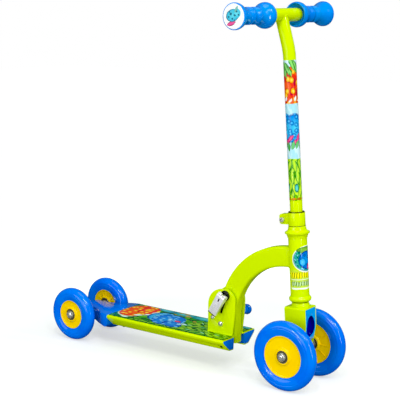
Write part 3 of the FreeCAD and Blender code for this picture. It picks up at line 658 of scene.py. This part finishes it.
def stem_print(radius):
    """Generic wrap for the stem: leaves at both ends, a spotted red band, a blue band and pale sky."""
    art = Artwork("stem_print_gloss")
    u, v = steering_uv(art, radius)
    sky, white = 0xCEEEF6, 0xF6FCFF
    art.lay_out(u, v, 1.4, 0.16, sky)
    low, high = span("stem_sleeve")
    bottom = low.z / MM
    height = high.z / MM - bottom
    round_it = math.pi * radius

    def at(share):
        return bottom + height * share
    art.dots(art.band(at(0.3), at(0.75)), 9.0, 0.5, 0xAAE0EE, stretch=(1.0, 0.5))

    # red band with yellow spots and dark red shadows
    red = art.band(at(0.695), at(0.955))
    art.over(red, 0xEC341A)
    art.dots(red, 17.0, 0.42, 0xFA6028, stretch=(1.0, 0.7), shift=3.1)
    art.dots(red, 12.0, 0.30, 0xBE103C, stretch=(1.4, 0.55), shift=5.7)
    art.dots(red, 10.5, 0.40, 0xB43C0A, stretch=(1.0, 0.8))
    art.dots(red, 10.5, 0.33, 0xFFB218, core=0xFFDE46, stretch=(1.0, 0.8))
    art.leaves((round_it / 4,), (4.8, 2.4), (0xFFE2D8, white), start=(0, at(0.722)), turn=50, sway=30,
               jitter=4, seed=3, edge=0xAA3C3C)

    # fringe of long leaves at the top, over the red band and the bare paint
    for i, rise in enumerate((0.945, 0.962)):
        art.leaves((round_it / 4,), (16, 3.4), (0x1E8C24, 0x5AC43C), start=(4.0 * i, at(rise)),
                   turn=96, sway=20, jitter=4, seed=i, edge=0x06541E, core=0x96E078)

    # blue band: rounded boulders with rings and a pink petal
    blue = art.leaves((round_it / 2,), (17.5, height * 0.108), (0x108CE4, 0x18ACE4),
                      start=(-round_it * 0.45, at(0.515)), seed=4, edge=0x0A3C8C, core=0x46CEF0,
                      line=0.07, leaf=False)
    art.dots(blue, 9.0, 0.40, 0x0854B0)
    art.dots(blue, 9.0, 0.30, 0x1E96E2, core=0x5ACDF5)
    for i, share in enumerate((0.425, 0.45)):
        art.leaves((round_it / 2.5,), (8.5, 3.4), (0xE21C78, 0xEC3C82), seed=12 + i,
                   start=(5.0 * i, at(share)), turn=75, sway=50, jitter=2, edge=0x780A50,
                   core=0xF66096)

    # tufts under the blue band, then the leafy foot
    art.leaves((round_it / 4.5,), (8, 3.2), (0x46AA46, 0x6EC878), start=(0, at(0.395)), turn=84,
               sway=30, jitter=3, seed=7, edge=0x14643C)
    foot = art.band(at(-0.1), at(0.30))
    art.over(foot, 0x80D00E)
    for i in range(2):
        pair = ((0x78D00A, 0x3CAA3C), (0xB0E414, 0x5ABE28))[i]
        art.leaves((round_it / 3.5, 19.0), (12, 4.8), pair, start=(4.0 * i, bottom + 9.5 * i), turn=90,
                   sway=28, jitter=3, seed=30 + i, edge=0x18781E, core=0xCEF03C, region=foot)
    art.leaves((round_it / 2,), (3.6, 7.5), (0x32BAB0, 0x28AAA0), start=(0, at(0.085)), jitter=4,
               seed=11, edge=0x0A6E5A, core=0x78E2D2, leaf=False)
    art.leaves((round_it / 3.5,), (5, 2.2), (0xE28C1E, 0xBE7814), start=(0, at(0.012)), sway=24,
               seed=40, edge=0x5A6E0A)
    return art.varnish(0.18)


def badge_print(radius, round_centre, round_radius, reach, band_low, band_high):
    """Generic round scene with leaves and pebbles, over a band of yellow and green leaves."""
    art = Artwork("badge_print_gloss")
    u, v = steering_uv(art, radius)
    art.lay_out(u, v, 0.2, 0.3, 0xC4E23C)
    white = 0xF6FCF0
    c = round_centre
    # band: two rows of leaves with dark outlines, parted and finished by white lines
    tall = band_high - band_low
    art.over(art.band(band_low - 2, band_low + tall * 0.1), white)
    for row, (height, size, tone, core) in enumerate((
            (0.73, (6.4, 3.1), 0xEEDE00, 0xFFF628),
            (0.30, (5.0, 2.7), 0x78B03C, 0xD6F0B4))):
        y = band_low + tall * height
        for half in (0, 1):
            art.leaves((9.0,), size, (tone, tone), start=(3.0 * row + 4.5 * half, y), turn=74,
                       sway=14, jitter=0.5, seed=row + half, edge=0x1E540A, core=core, line=0.3)
    art.over(art.band(band_low + tall * 0.49, band_low + tall * 0.515, 0.5), white)
    # the round scene
    inner, wide = round_radius - 1.5, reach - 1.5
    art.spot((0, c), (reach + 0.4, round_radius + 0.4), white)
    art.spot((0, c), (wide, inner), 0x78D8EC, edge=0x147882, core=0xCEF2FA, line=0.05)
    art.spot((-wide * 0.1, c + inner * 0.72), (wide * 0.66, inner * 0.27), 0x6EAA32, edge=0x146E3C,
             core=0x96CD46)
    scene = art.area((0, c), (wide * 0.93, inner * 0.93))
    ferns = art.either(art.band(c - inner, c - inner * 0.6), art.math("LESS_THAN", art.u, -wide * 0.5))
    art.leaves((6.0, 8.0), (5.6, 3.2), (0x00786E, 0x0A9696), start=(0, c), turn=80, sway=40,
               jitter=1.2, seed=4, edge=0x004650, core=0x32B496,
               region=art.math("MINIMUM", scene, ferns))
    art.spot((-1, c - 2), (wide * 0.6, inner * 0.74), 0x0A70D6, edge=0x043896,
             core=0x1EA0F0, turn=-20, line=0.1)
    art.spot((-9, c - 5), (6.2, 7.2), 0x28AAF0, edge=0x0854B4, turn=20, core=0x5ACDFA)
    for x, y, size in ((-5, 6, 2.6), (3, 2, 3.0), (8, -6, 2.2), (-12, 1, 1.8), (-1, -10, 2.0)):
        art.spot((x, c + y), (size, size * 0.85), 0x065CAA, edge=0x043C82, core=0x1482D2)
    art.leaf((5, c - 12), (7.5, 4.4), 0xD62878, edge=0x6E0A3C, core=0xF078AA, turn=50)
    return art.varnish(0.16)


def grip_badge_print(centre, sign):
    """Generic spotted pebble with a pink leaf on a white ground, on the grip's end face."""
    art = Artwork("grip_badge_print_" + ("left" if sign > 0 else "right"))
    parts = art.node("SeparateXYZ", Vector=art.place())
    u = art.times(art.minus(parts.outputs["X"], centre.x), -sign / MM)
    v = art.times(art.minus(parts.outputs["Z"], centre.z), 1 / MM)
    art.lay_out(u, v, 0.8, 0.25, 0xFAFAFC)
    art.leaf((-4, -11), (9, 3.6), 0xCE186E, edge=0x78145A, core=0xF05AA0, turn=18)
    art.spot((-1.5, 1.5), (12.5, 9.6), 0x2CBADC, edge=0x086082, core=0x5AD6EC, turn=18,
             line=0.1)
    art.spot((6, 5), (7.5, 7.0), 0x34C4E0, core=0x6EDEF0, turn=-20)
    for x, y, size in ((-9, -1, 1.7), (-5, 3.4, 2.2), (-2, -3.5, 1.7), (2.4, 1.6, 1.9), (5.5, 7.6, 2.0),
                       (9.5, 2.5, 1.6), (-7.5, 6.5, 1.3), (2, -6, 1.2)):
        art.spot((x, y), (size, size * 0.9), 0x08708C, edge=0x065478)
    art.leaf((5, 11), (6, 2.0), 0x78BEB4, edge=0x1E7878, turn=60)
    return art.varnish(0.12)


# ---- wheels ----
def tyre_profile(radius, hub_radius, half):
    """A solid tyre's section with a bead lip, a sidewall crease and a faint mould line on its tread."""
    bulge = 2.2
    seat = half - bulge
    shoulder = radius - half
    swell = hub_radius + (shoulder - hub_radius) * 0.5
    upper = [(hub_radius, 0), (hub_radius, seat - 0.2), (hub_radius + 0.3, seat + 0.15),
             (hub_radius + 1.4, seat + 0.35), (hub_radius + 2.0, seat + 0.1)]
    upper += arc(upper[-1], (swell, seat + bulge * 0.7), (shoulder - 1.2, half - 0.12), 10)
    upper += [(shoulder - 0.6, half - 0.35), (shoulder - 0.1, half - 0.4), (shoulder + 0.5, half - 0.15)]
    steps = 16
    tread = radius - half - 0.08
    for i in range(1, steps):
        turn = math.pi / 2 * (1 - i / steps)
        upper.append((tread + half * math.cos(turn), half * math.sin(turn)))
    upper += [(radius - 0.1, 0.5), (radius, 0.3), (radius, 0)]
    lower = [(r, -h) for r, h in reversed(upper[1:-1])]
    return upper + lower


def hub_profile(radius, boss_half, bearing_radius, inner_face):
    """A dished hub with a rounded rim line, a sunk web and a boss that holds the bearings."""
    face, web = 8.4, 6.8
    upper = [(bearing_radius - 2.0, inner_face), (bearing_radius, inner_face), (bearing_radius, boss_half),
             (bearing_radius + 2.0, boss_half), (bearing_radius + 4.6, web), (radius - 3.4, web + 0.35),
             (radius - 1.9, face), (radius, face)]
    return eased(upper + [(r, -h) for r, h in reversed(upper)], 0.6)


def wheel(end, side, sign, tyre_finish, hub_finish):
    name = f"{end}_{side}"
    _, half, radius = halves(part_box(name + "_tyre"))
    _, boss_half, hub_radius = halves(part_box(name + "_hub"))
    place = facing(middle(name + "_hub"), sign)
    body = BODY_OF[name + "_tyre"]
    tyre = turned(name + "_tyre_moulded", tyre_profile(radius, hub_radius, half), place, tyre_finish,
                  body, "blue_tyre", 60)
    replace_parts(tyre, name + "_tyre")

    bearing_radius, bearing_face = 11.0, 1.3
    vertices, faces = revolved(hub_profile(hub_radius, boss_half, bearing_radius, bearing_face), place)
    ribs, inner, outer, thick = 10, 14.6, hub_radius - 2.6, 0.7
    root, crest = -5.5, -7.9
    for i in range(ribs):
        turn = place @ Matrix.Rotation(2 * math.pi * i / ribs, 4, "Z")
        start = len(vertices)
        for x in (inner, outer):
            for y, z in ((-thick, root), (-thick * 0.6, crest), (thick * 0.6, crest), (thick, root)):
                vertices.append(turn @ (Vector((x, y, z)) * MM))
        faces += [[start + k for k in face] for face in
                  ((0, 1, 2, 3), (7, 6, 5, 4), (0, 4, 5, 1), (1, 5, 6, 2), (2, 6, 7, 3), (3, 7, 4, 0))]
    hub = piece(name + "_hub_moulded", vertices, faces, hub_finish, body, "yellow_plastic", 50)
    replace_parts(hub, name + "_hub")


# ---- grips and badges ----
def grip_profile(inner, end, flange, neck, bar):
    """The left grip's section by distance from the middle: guard, ribbed waist and flared end."""
    rise = flange - neck
    rib_half, rib_height = 1.5, 0.75
    ribs = []
    for centre in (75.0, 78.6, 82.2, 94.0, 97.6, 101.2):
        ribs += [(neck, centre - rib_half), ((neck + rib_height, centre), (neck, centre + rib_half))]
    return outline(
        (bar + 0.02, inner + 7.0), ((14.6, inner + 5.4), (18.0, inner + 0.4)),
        ((19.0, inner), (19.9, inner + 0.6)),
        ((flange - 0.2, inner + 3.6), (flange, inner + 5.8)),
        ((flange - 0.9, inner + 11.0), (flange - rise * 0.5, 58.5)),
        ((neck + 0.9, 64.0), (neck, 72.0)),
        *ribs, (neck, 104.0),
        ((neck + 1.3, 112.0), (flange - rise * 0.42, 121.0)),
        ((flange - 1.0, 126.5), (flange, 130.5)),
        (flange, end - 1.0), ((flange - 0.3, end - 0.3), (flange - 1.0, end)),
        (bar, end), steps=7)


def grips(material):
    low, high = span("grip_left")
    flange, neck, bar = halves((low, high))[0], 13.3, halves(span("handlebar_tube"))[0]
    centre = STEERING @ bar_centre()
    face = high.y / MM
    profile = grip_profile(low.y / MM, face, flange, neck, bar)
    radius = halves(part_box("grip_badges"))[2]
    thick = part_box("grip_badges")[1].y / MM - face
    disc = outline((0, face), (radius - 0.5, face), (radius, face + thick * 0.35),
                   ((radius - 0.3, face + thick * 0.7), (radius - 1.3, face + thick * 0.82)),
                   ((radius * 0.5, face + thick * 0.97), (0, face + thick)), steps=10)
    for side, sign in SIDES:
        place = facing(centre, sign)
        grip = turned(f"grip_{side}_moulded", profile, place, material, "stem", "blue_grip_rubber", 60,
                      rings=112)
        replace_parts(grip, f"grip_{side}")
        badge = turned(f"grip_badge_{side}_domed", disc, place, grip_badge_print(centre, sign), "stem",
                       "badge_print", 50, closed=False, rings=96)
        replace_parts(badge, "grip_badges")


# ---- head badge ----
def head_badge():
    """Two stuck-on vinyl pieces round the head tube: a disc, and a band with gently waved edges."""
    low, high = span("head_badge")
    tube = halves(span("head_tube"))[1]
    face = high.x / MM
    bottom, top = low.z / MM, high.z / MM
    disc_radius, disc_reach, band_reach = 22.4, face * math.radians(97), face * math.radians(112)
    disc_centre = top - disc_radius
    overlap = 5.0
    band_top = disc_centre - disc_radius + overlap
    glue = 0.02
    material = badge_print(face, disc_centre, disc_radius, disc_reach, bottom, band_top)

    def wrapped(u, h, r):
        turn = u / face
        return STEERING @ (Vector((r * math.cos(turn), r * math.sin(turn), h)) * MM)

    def sheet(name, grid, thick):
        """A closed thin piece from a grid of (u, h): an outer skin, an inner skin and the rim."""
        rows, columns = len(grid), len(grid[0])
        vertices = []
        for skin in (tube + thick, tube + glue):
            vertices += [wrapped(u, h, skin) for row in grid for u, h in row]
        inner = rows * columns
        faces = []
        for r in range(rows - 1):
            for c in range(columns - 1):
                a = r * columns + c
                quad = [a, a + 1, a + columns + 1, a + columns]
                faces += [quad, [inner + k for k in reversed(quad)]]
        rim = list(range(columns)) + [r * columns + columns - 1 for r in range(1, rows)]
        rim += [(rows - 1) * columns + c for c in range(columns - 2, -1, -1)]
        rim += [r * columns for r in range(rows - 2, 0, -1)]
        for a, b in zip(rim, rim[1:] + rim[:1]):
            faces.append([a, b, inner + b, inner + a])
        return piece(name, vertices, faces, material, "neck", "badge_print", 50)

    columns, rows = 120, 8

    def band_point(column, row):
        u = -band_reach + 2 * band_reach * column / columns
        lower = bottom + 0.5 + 0.3 * math.sin(u * 0.3)
        upper = band_top - 1.0 + 0.4 * math.sin(u * 0.5 + 1)
        return u, lower + (upper - lower) * row / rows

    band = [[band_point(c, r) for c in range(columns + 1)] for r in range(rows + 1)]
    under_disc = 0.12
    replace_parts(sheet("head_badge_band", band, face - tube - under_disc), "head_badge")

    # the disc: a square grid eased onto a circle
    count = 56
    steps = [2 * i / count - 1 for i in range(count + 1)]
    disc = [[(disc_reach * x * math.sqrt(1 - y * y / 2),
              disc_centre + disc_radius * y * math.sqrt(1 - x * x / 2)) for x in steps] for y in steps]
    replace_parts(sheet("head_badge_disc", disc, face - tube), "head_badge")


# ---- welds ----
def weld(name, path, size, body, material, closed=True):
    """A rippled weld bead along a path of points in metres."""
    ripple = [size * MM * (1 + 0.10 * math.sin(1.9 * i) + 0.05 * math.sin(0.73 * i))
              for i in range(len(path))]
    vertices, faces = tube_along(path, ripple, closed)
    return piece(name, vertices, faces, material, body, "lime_paint", 60)


def welds(material):
    # the neck arm's end on the head tube: the arm's section, laid on the raked tube
    arm_half = halves(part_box("neck_arm"))[1] * MM
    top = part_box("neck_arm")[1].z
    tube = halves(span("head_tube"))[1] * MM
    arm_tall, corner, stride = 35.1 * MM, 4.0 * MM, 1.3 * MM
    bottom = top - arm_tall
    section = [(-arm_half, bottom), (arm_half, bottom), (arm_half, top), (-arm_half, top)]
    section = eased(section, corner, 6)
    path = []
    for (y0, z0), (y1, z1) in zip(section, section[1:] + section[:1]):
        steps = max(1, int(math.hypot(y1 - y0, z1 - z0) / stride))
        for k in range(steps):
            y, z = y0 + (y1 - y0) * k / steps, z0 + (z1 - z0) * k / steps
            axis = STEER_FOOT.x - (z - STEER_FOOT.z) * math.tan(RAKE)
            path.append(Vector((axis - math.sqrt(max(tube ** 2 - y * y, 0)) / math.cos(RAKE), y, z)))
    weld("arm_weld", path, 1.25, "neck", material)

    # the stem's end on the handlebar
    bar = bar_centre()
    bar_radius = halves(span("handlebar_tube"))[0] * MM
    film = 0.2
    stem_radius = (halves(span("stem_sleeve"))[1] - film) * MM
    stem_lean = 11.93                # degrees between the stem's upper end and the steering axis
    lean = Matrix.Rotation(-math.radians(stem_lean), 3, "Y")
    beads = 72
    path = []
    for i in range(beads):
        turn = 2 * math.pi * i / beads
        x, y = stem_radius * math.cos(turn), stem_radius * math.sin(turn)
        down = math.sqrt(max(bar_radius ** 2 - x * x, 0))
        path.append(STEERING @ (bar + lean @ Vector((x, y, -down))))
    weld("bar_weld", path, 1.15, "stem", material)

    # each hinge plate's foot on the deck
    outside, rise, rear_gap, front_gap, beads = 15.9 * MM, 0.9 * MM, 0.5 * MM, 6.4 * MM, 42
    for side, sign in SIDES:
        low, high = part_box("hinge_plate_" + side)
        path = [Vector((low.x + rear_gap + (high.x - front_gap - low.x) * i / beads,
                        outside * sign, low.z + rise)) for i in range(beads + 1)]
        weld(f"plate_weld_{side}", path, 1.7, "deck", material, closed=False)


# ---- seals, liners and the lever's small parts ----
def bush_and_shadow_rings(rubber):
    """Dark rings round the stem: a bush in the collar's mouth, and under the collar and the cup dark rings
    of painted shade where shadow lines fall.
    """
    stem, collar, race = (halves(span(node))[1]
                          for node in ("stem_sleeve", "clamp_collar", "headset_race_lower"))
    collar_foot, collar_top = (corner.z / MM for corner in span("clamp_collar"))
    race_top = span("headset_race_lower")[1].z / MM
    for name, inner, outer, low, high in (
            ("collar_bush", stem + 0.1, 13.5, collar_top - 0.5, collar_top + 1.4),
            # the next two rings are painted shade: dark shadow lines under the collar and under the lower
            # cup
            ("collar_painted_shadow_ring", 13.0, collar + 0.2, collar_foot - 0.7, collar_foot + 0.2),
            ("race_painted_shadow_ring", 13.0, race - 0.3, race_top - 1.2, race_top - 0.1)):
        ring = eased([(inner, low), (outer, low), (outer, high), (inner, high)], 0.3)
        turned(name, ring, STEERING, rubber, "fork", "black_plastic", 50, rings=96)


def slot_painted_shades(rubber):
    """A dark strip of painted shade closes each hinge plate's slot from inside, darkening the slot where
    shade falls.
    """
    pivot = Vector(joint("fold")["pos_m"])
    top, low = Vector((-2.9, -13.4)), Vector((-9.1, -31.8))      # the slot's ends from the pivot
    radius, steps = 2.15, 12
    lean = math.atan2(top.y - low.y, top.x - low.x)
    points = []
    for centre, start in ((top, -90), (low, 90)):
        for k in range(steps + 1):
            turn = lean + math.radians(start + 180 * k / steps)
            points.append((centre.x + radius * math.cos(turn), -(centre.y + radius * math.sin(turn))))
    place = Matrix.Translation(pivot) @ Matrix.Rotation(-math.pi / 2, 4, "X")
    inset, depth = 0.2, 2.75
    for side, sign in SIDES:
        inner = min(abs(corner.y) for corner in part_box("hinge_plate_" + side)) / MM
        ends = sorted((sign * (inner + inset), sign * (inner + depth)))
        # a dark strip of painted shade behind the slot
        prism(f"slot_painted_shade_{side}", points, place, *ends, rubber, "deck", "black_plastic")


def crown_recess(navy):
    """A dark navy cup of painted shade in the oval recess in the fork's blue front: the recess is darkened
    where shade falls.
    """
    half_wide, half_tall, height = 12.65, 18.55, 41.0
    floor_x, mouth_x, wall, inner = 12.4, 18.4, 0.4, 0.97
    bend_at, bend_over, bend_back = 44.0, 17.0, 2.9              # the mouth falls back below bend_at
    place = Matrix.Rotation(math.pi / 2, 4, "Y") @ Matrix.Diagonal((half_tall, half_wide, 1, 1))
    cup = [(1.0, mouth_x), (1.0, floor_x), (0, floor_x), (0, floor_x + wall), (inner, floor_x + wall),
           (inner, mouth_x)]
    vertices, faces = revolved(cup, place, rings=96)
    for v in vertices:
        drop = max(0.0, bend_at - height - v.z / MM) / bend_over
        v.x = min(v.x, (mouth_x - bend_back * drop ** 2) * MM)
    vertices = [STEERING @ (v + Vector((0, 0, height * MM))) for v in vertices]
    piece("crown_recess_painted_shade", vertices, faces, navy, "fork", "blue_plastic", 50)


def lever_parts(chrome, rubber):
    """The lever with eased edges, a dark block of painted shade under its slot and a dark tip of painted
    reflection on the strap's end face.
    """
    softened("release_lever", STAMPED_EDGE, chrome, "lever_chrome")
    hinge = joint("release_lever_swing")
    across = Vector(hinge["axis"]).normalized()
    outward = Vector((0, 1, 0))
    along = across.cross(outward)
    place = Matrix.Translation(hinge["pos_m"]) @ Matrix((along, across, outward)).transposed().to_4x4()
    # both dark pieces are painted: shade seen through the slot, and the dark reflection on the tip's end
    # face
    for name, near, far, half, low, high, corner in (
            ("lever_slot_painted_shade", 2.9, 11.0, 2.4, -4.6, -3.4, 0.4),
            ("lever_tip_painted_reflection", 36.0, 37.5, 8.3, -6.0, -1.8, 0.5)):
        block = eased([(near, -half), (far, -half), (far, half), (near, half)], corner)
        prism(name, block, place, low, high, rubber, "lever", "black_plastic")


# ---- carried-over CAD nodes ----
def dress(material, *names):
    for name in names:
        mesh = NODES[name].data
        mesh.materials.clear()
        mesh.materials.append(material)


def dress_all():
    lime = lime_paint()
    blue = moulded("blue_plastic_gloss", BLUE, BLUE_DEEP, 0.22)
    tyre = moulded("blue_tyre_vinyl", srgb(0x007CF6), srgb(0x006AF0), 0.2, grain=1900.0)
    grip = moulded("blue_grip_vinyl", srgb(0x0094F6), srgb(0x0082F0), 0.2, grain=1700.0)
    yellow = moulded("yellow_hub_plastic", YELLOW, srgb(0xFFCE00), 0.26)
    zinc = metal("zinc_plate", srgb(0xF0F0EA), srgb(0xBEBEB8), 0.24, 0.8)
    chrome = metal("lever_chrome_plate", srgb(0xFCF8FE), srgb(0xE2DEE8), 0.2, 0.3, (1, 1, 6), 260.0)
    bearing = bearing_faces()
    # black plastic for the real seat, screws and bush, also used for the dark pieces of painted shade and
    # painted reflection
    black = moulded("black_plastic_and_painted_shade", srgb(0x101210), srgb(0x1A1C18), 0.4)

    for node in ("hinge_plate_left", "hinge_plate_right", "deck_pan", "neck_arm", "fork_crown",
                 "clamp_collar"):
        softened(node, PRESSED_EDGE, lime, "lime_paint")
    for node in ("deck_cap_left", "deck_cap_right", "rear_axle_housing"):
        softened(node, MOULDED_EDGE, blue, "blue_plastic")
    insert = moulded("blue_insert_gloss", srgb(0x00A6FA), srgb(0x0096F6), 0.22)
    softened("crown_insert", MOULDED_EDGE, insert, "blue_plastic")
    dress(lime, "hinge_base", "head_tube", "headset_cup_lower", "headset_cup_upper", "headset_cap",
          "headset_race_lower", "stem_tube", "handlebar_tube")
    dress(blue, "plunger_knob", "plunger_guide")
    dress(zinc, "stop_bolt", "stop_bolt_nut", "spacer_rivet", "pivot_skewer", "skewer_nut",
          "plunger_pin", "plunger_spring", "clamp_bolt", "clamp_nut", "front_axle", "front_axle_nuts",
          "front_axle_sleeves", "rear_axle", "rear_axle_nuts", "rear_axle_sleeves", "housing_screws",
          "steerer_tube", "release_cross_pin")
    dress(black, "cam_seat", "cap_screws", "pivot_bush")
    dress(deck_print(), "deck_mat")
    dress(stem_print(halves(span("stem_sleeve"))[1]), "stem_sleeve")
    for end in ENDS:
        for side, sign in SIDES:
            dress(bearing, f"{end}_{side}_bearings")
            wheel(end, side, sign, tyre, yellow)
    grips(grip)
    head_badge()
    welds(lime)
    # a bush, and dark rings of painted shade under the collar and the cup
    bush_and_shadow_rings(black)
    # dark strips of painted shade behind the hinge plates' slots
    slot_painted_shades(black)
    # a navy cup of painted shade in the crown's oval recess
    crown_recess(moulded("navy_recess_painted_shade", srgb(0x000896), srgb(0x000482), 0.35))
    # the lever, with a dark block of painted shade under its slot and a tip of painted reflection
    lever_parts(chrome, black)


# ---- floor, light and camera ----
def floor():
    reach = 6.0
    shade_from, shade_to, shade, bright = 0.36, 0.7, 0.56, 1.0      # metres from the middle, and glow
    dark_from, dark_to = 0.7, 1.2
    mesh = bpy.data.meshes.new("floor")
    mesh.from_pydata([(-reach, -reach, 0), (reach, -reach, 0), (reach, reach, 0), (-reach, reach, 0)], [],
                     [(0, 1, 2, 3)])
    m = Material("studio_floor")
    away = m.vector("LENGTH", m.place())
    path = m.node("LightPath").outputs
    glow = m.times(path["Is Camera Ray"], m.range(away, shade_from, shade_to, shade, bright))
    grey, black = (0.5, 0.5, 0.5, 1), (0, 0, 0, 1)
    near = m.mix(m.range(away, dark_from, dark_to), grey, black)
    seen = m.mix(path["Is Glossy Ray"], near, m.mix(0.8, near, black))
    m.finish(Base_Color=seen, Roughness=0.7, Specular_IOR_Level=0.1, Emission_Color=(1, 1, 1, 1),
             Emission_Strength=glow)
    mesh.materials.append(m.material)
    added("floor", mesh)


def aimed(name, data, azimuth, elevation, distance, target):
    """A light or camera placed round the target, in degrees and metres, and turned to look at it."""
    a, e = math.radians(azimuth), math.radians(elevation)
    back = Vector((math.sin(a) * math.cos(e), -math.cos(a) * math.cos(e), math.sin(e)))
    obj = added(name, data)
    obj.location = target + back * distance
    obj.rotation_euler = (-back).to_track_quat("-Z", "Y").to_euler()
    return obj


def world():
    """Soft white surroundings, dimmer in reflections and for lighting than as the backdrop."""
    surroundings = bpy.data.worlds.new("studio")
    surroundings.use_nodes = True
    w = Nodes(surroundings.node_tree)
    background = w.tree.nodes["Background"].inputs
    path = w.node("LightPath").outputs
    lighting, mirrored, backdrop = 0.5, 0.14, 1.0
    strength = w.between(path["Is Glossy Ray"], lighting, mirrored)
    w.put(background["Strength"], w.between(path["Is Camera Ray"], strength, backdrop))
    w.put(background["Color"], w.mix(path["Is Camera Ray"], (0.84, 1.0, 0.92, 1), (1, 1, 1, 1)))
    bpy.context.scene.world = surroundings


def lights():
    """Area lights: bearing, height angle, distance, width and height in metres, and power in watts."""
    for name, azimuth, elevation, distance, size, power in (
            ("key", 74, 46, 2.6, (0.8, 0.8), 5),
            ("fill", -10, 4, 2.2, (2.2, 1.2), 14),
            ("streak_left", 0, 3, 1.1, (0.05, 0.6), 1.6),
            ("streak_right", 75, 3, 1.1, (0.05, 0.6), 1.6),
            ("strip_left", 33, 50, 2.2, (0.08, 0.5), 9),
            ("strip_right", 52, 40, 2.2, (0.08, 0.6), 9),
            ("strip_back", 100, 36, 2.2, (0.06, 0.8), 7),
            ("top", 20, 86, 3.0, (1.8, 1.8), 14)):
        light = bpy.data.lights.new(name, "AREA")
        light.shape = "RECTANGLE"
        light.size, light.size_y = size
        light.energy = power
        aimed(name, light, azimuth, elevation, distance, Vector((0.0, 0.0, 0.25))).visible_camera = False


def camera():
    azimuth, elevation, distance, lens = 36.919, 10.471, 1.9857, 101.1
    low, high = CAD_BOX
    target = Vector(((low[0] + high[0]) / 2 + 0.0214, 0, 0.29275))
    data = bpy.data.cameras.new("camera")
    data.lens = lens
    data.sensor_width = 36.0
    bpy.context.scene.camera = aimed("camera", data, azimuth, elevation, distance, target)


view = bpy.context.scene.view_settings
view.view_transform = "Standard"
view.use_curve_mapping = True
view.curve_mapping.black_level = (0.012, 0.012, 0.012)
view.curve_mapping.update()
floor()
world()
lights()
camera()
dress_all()
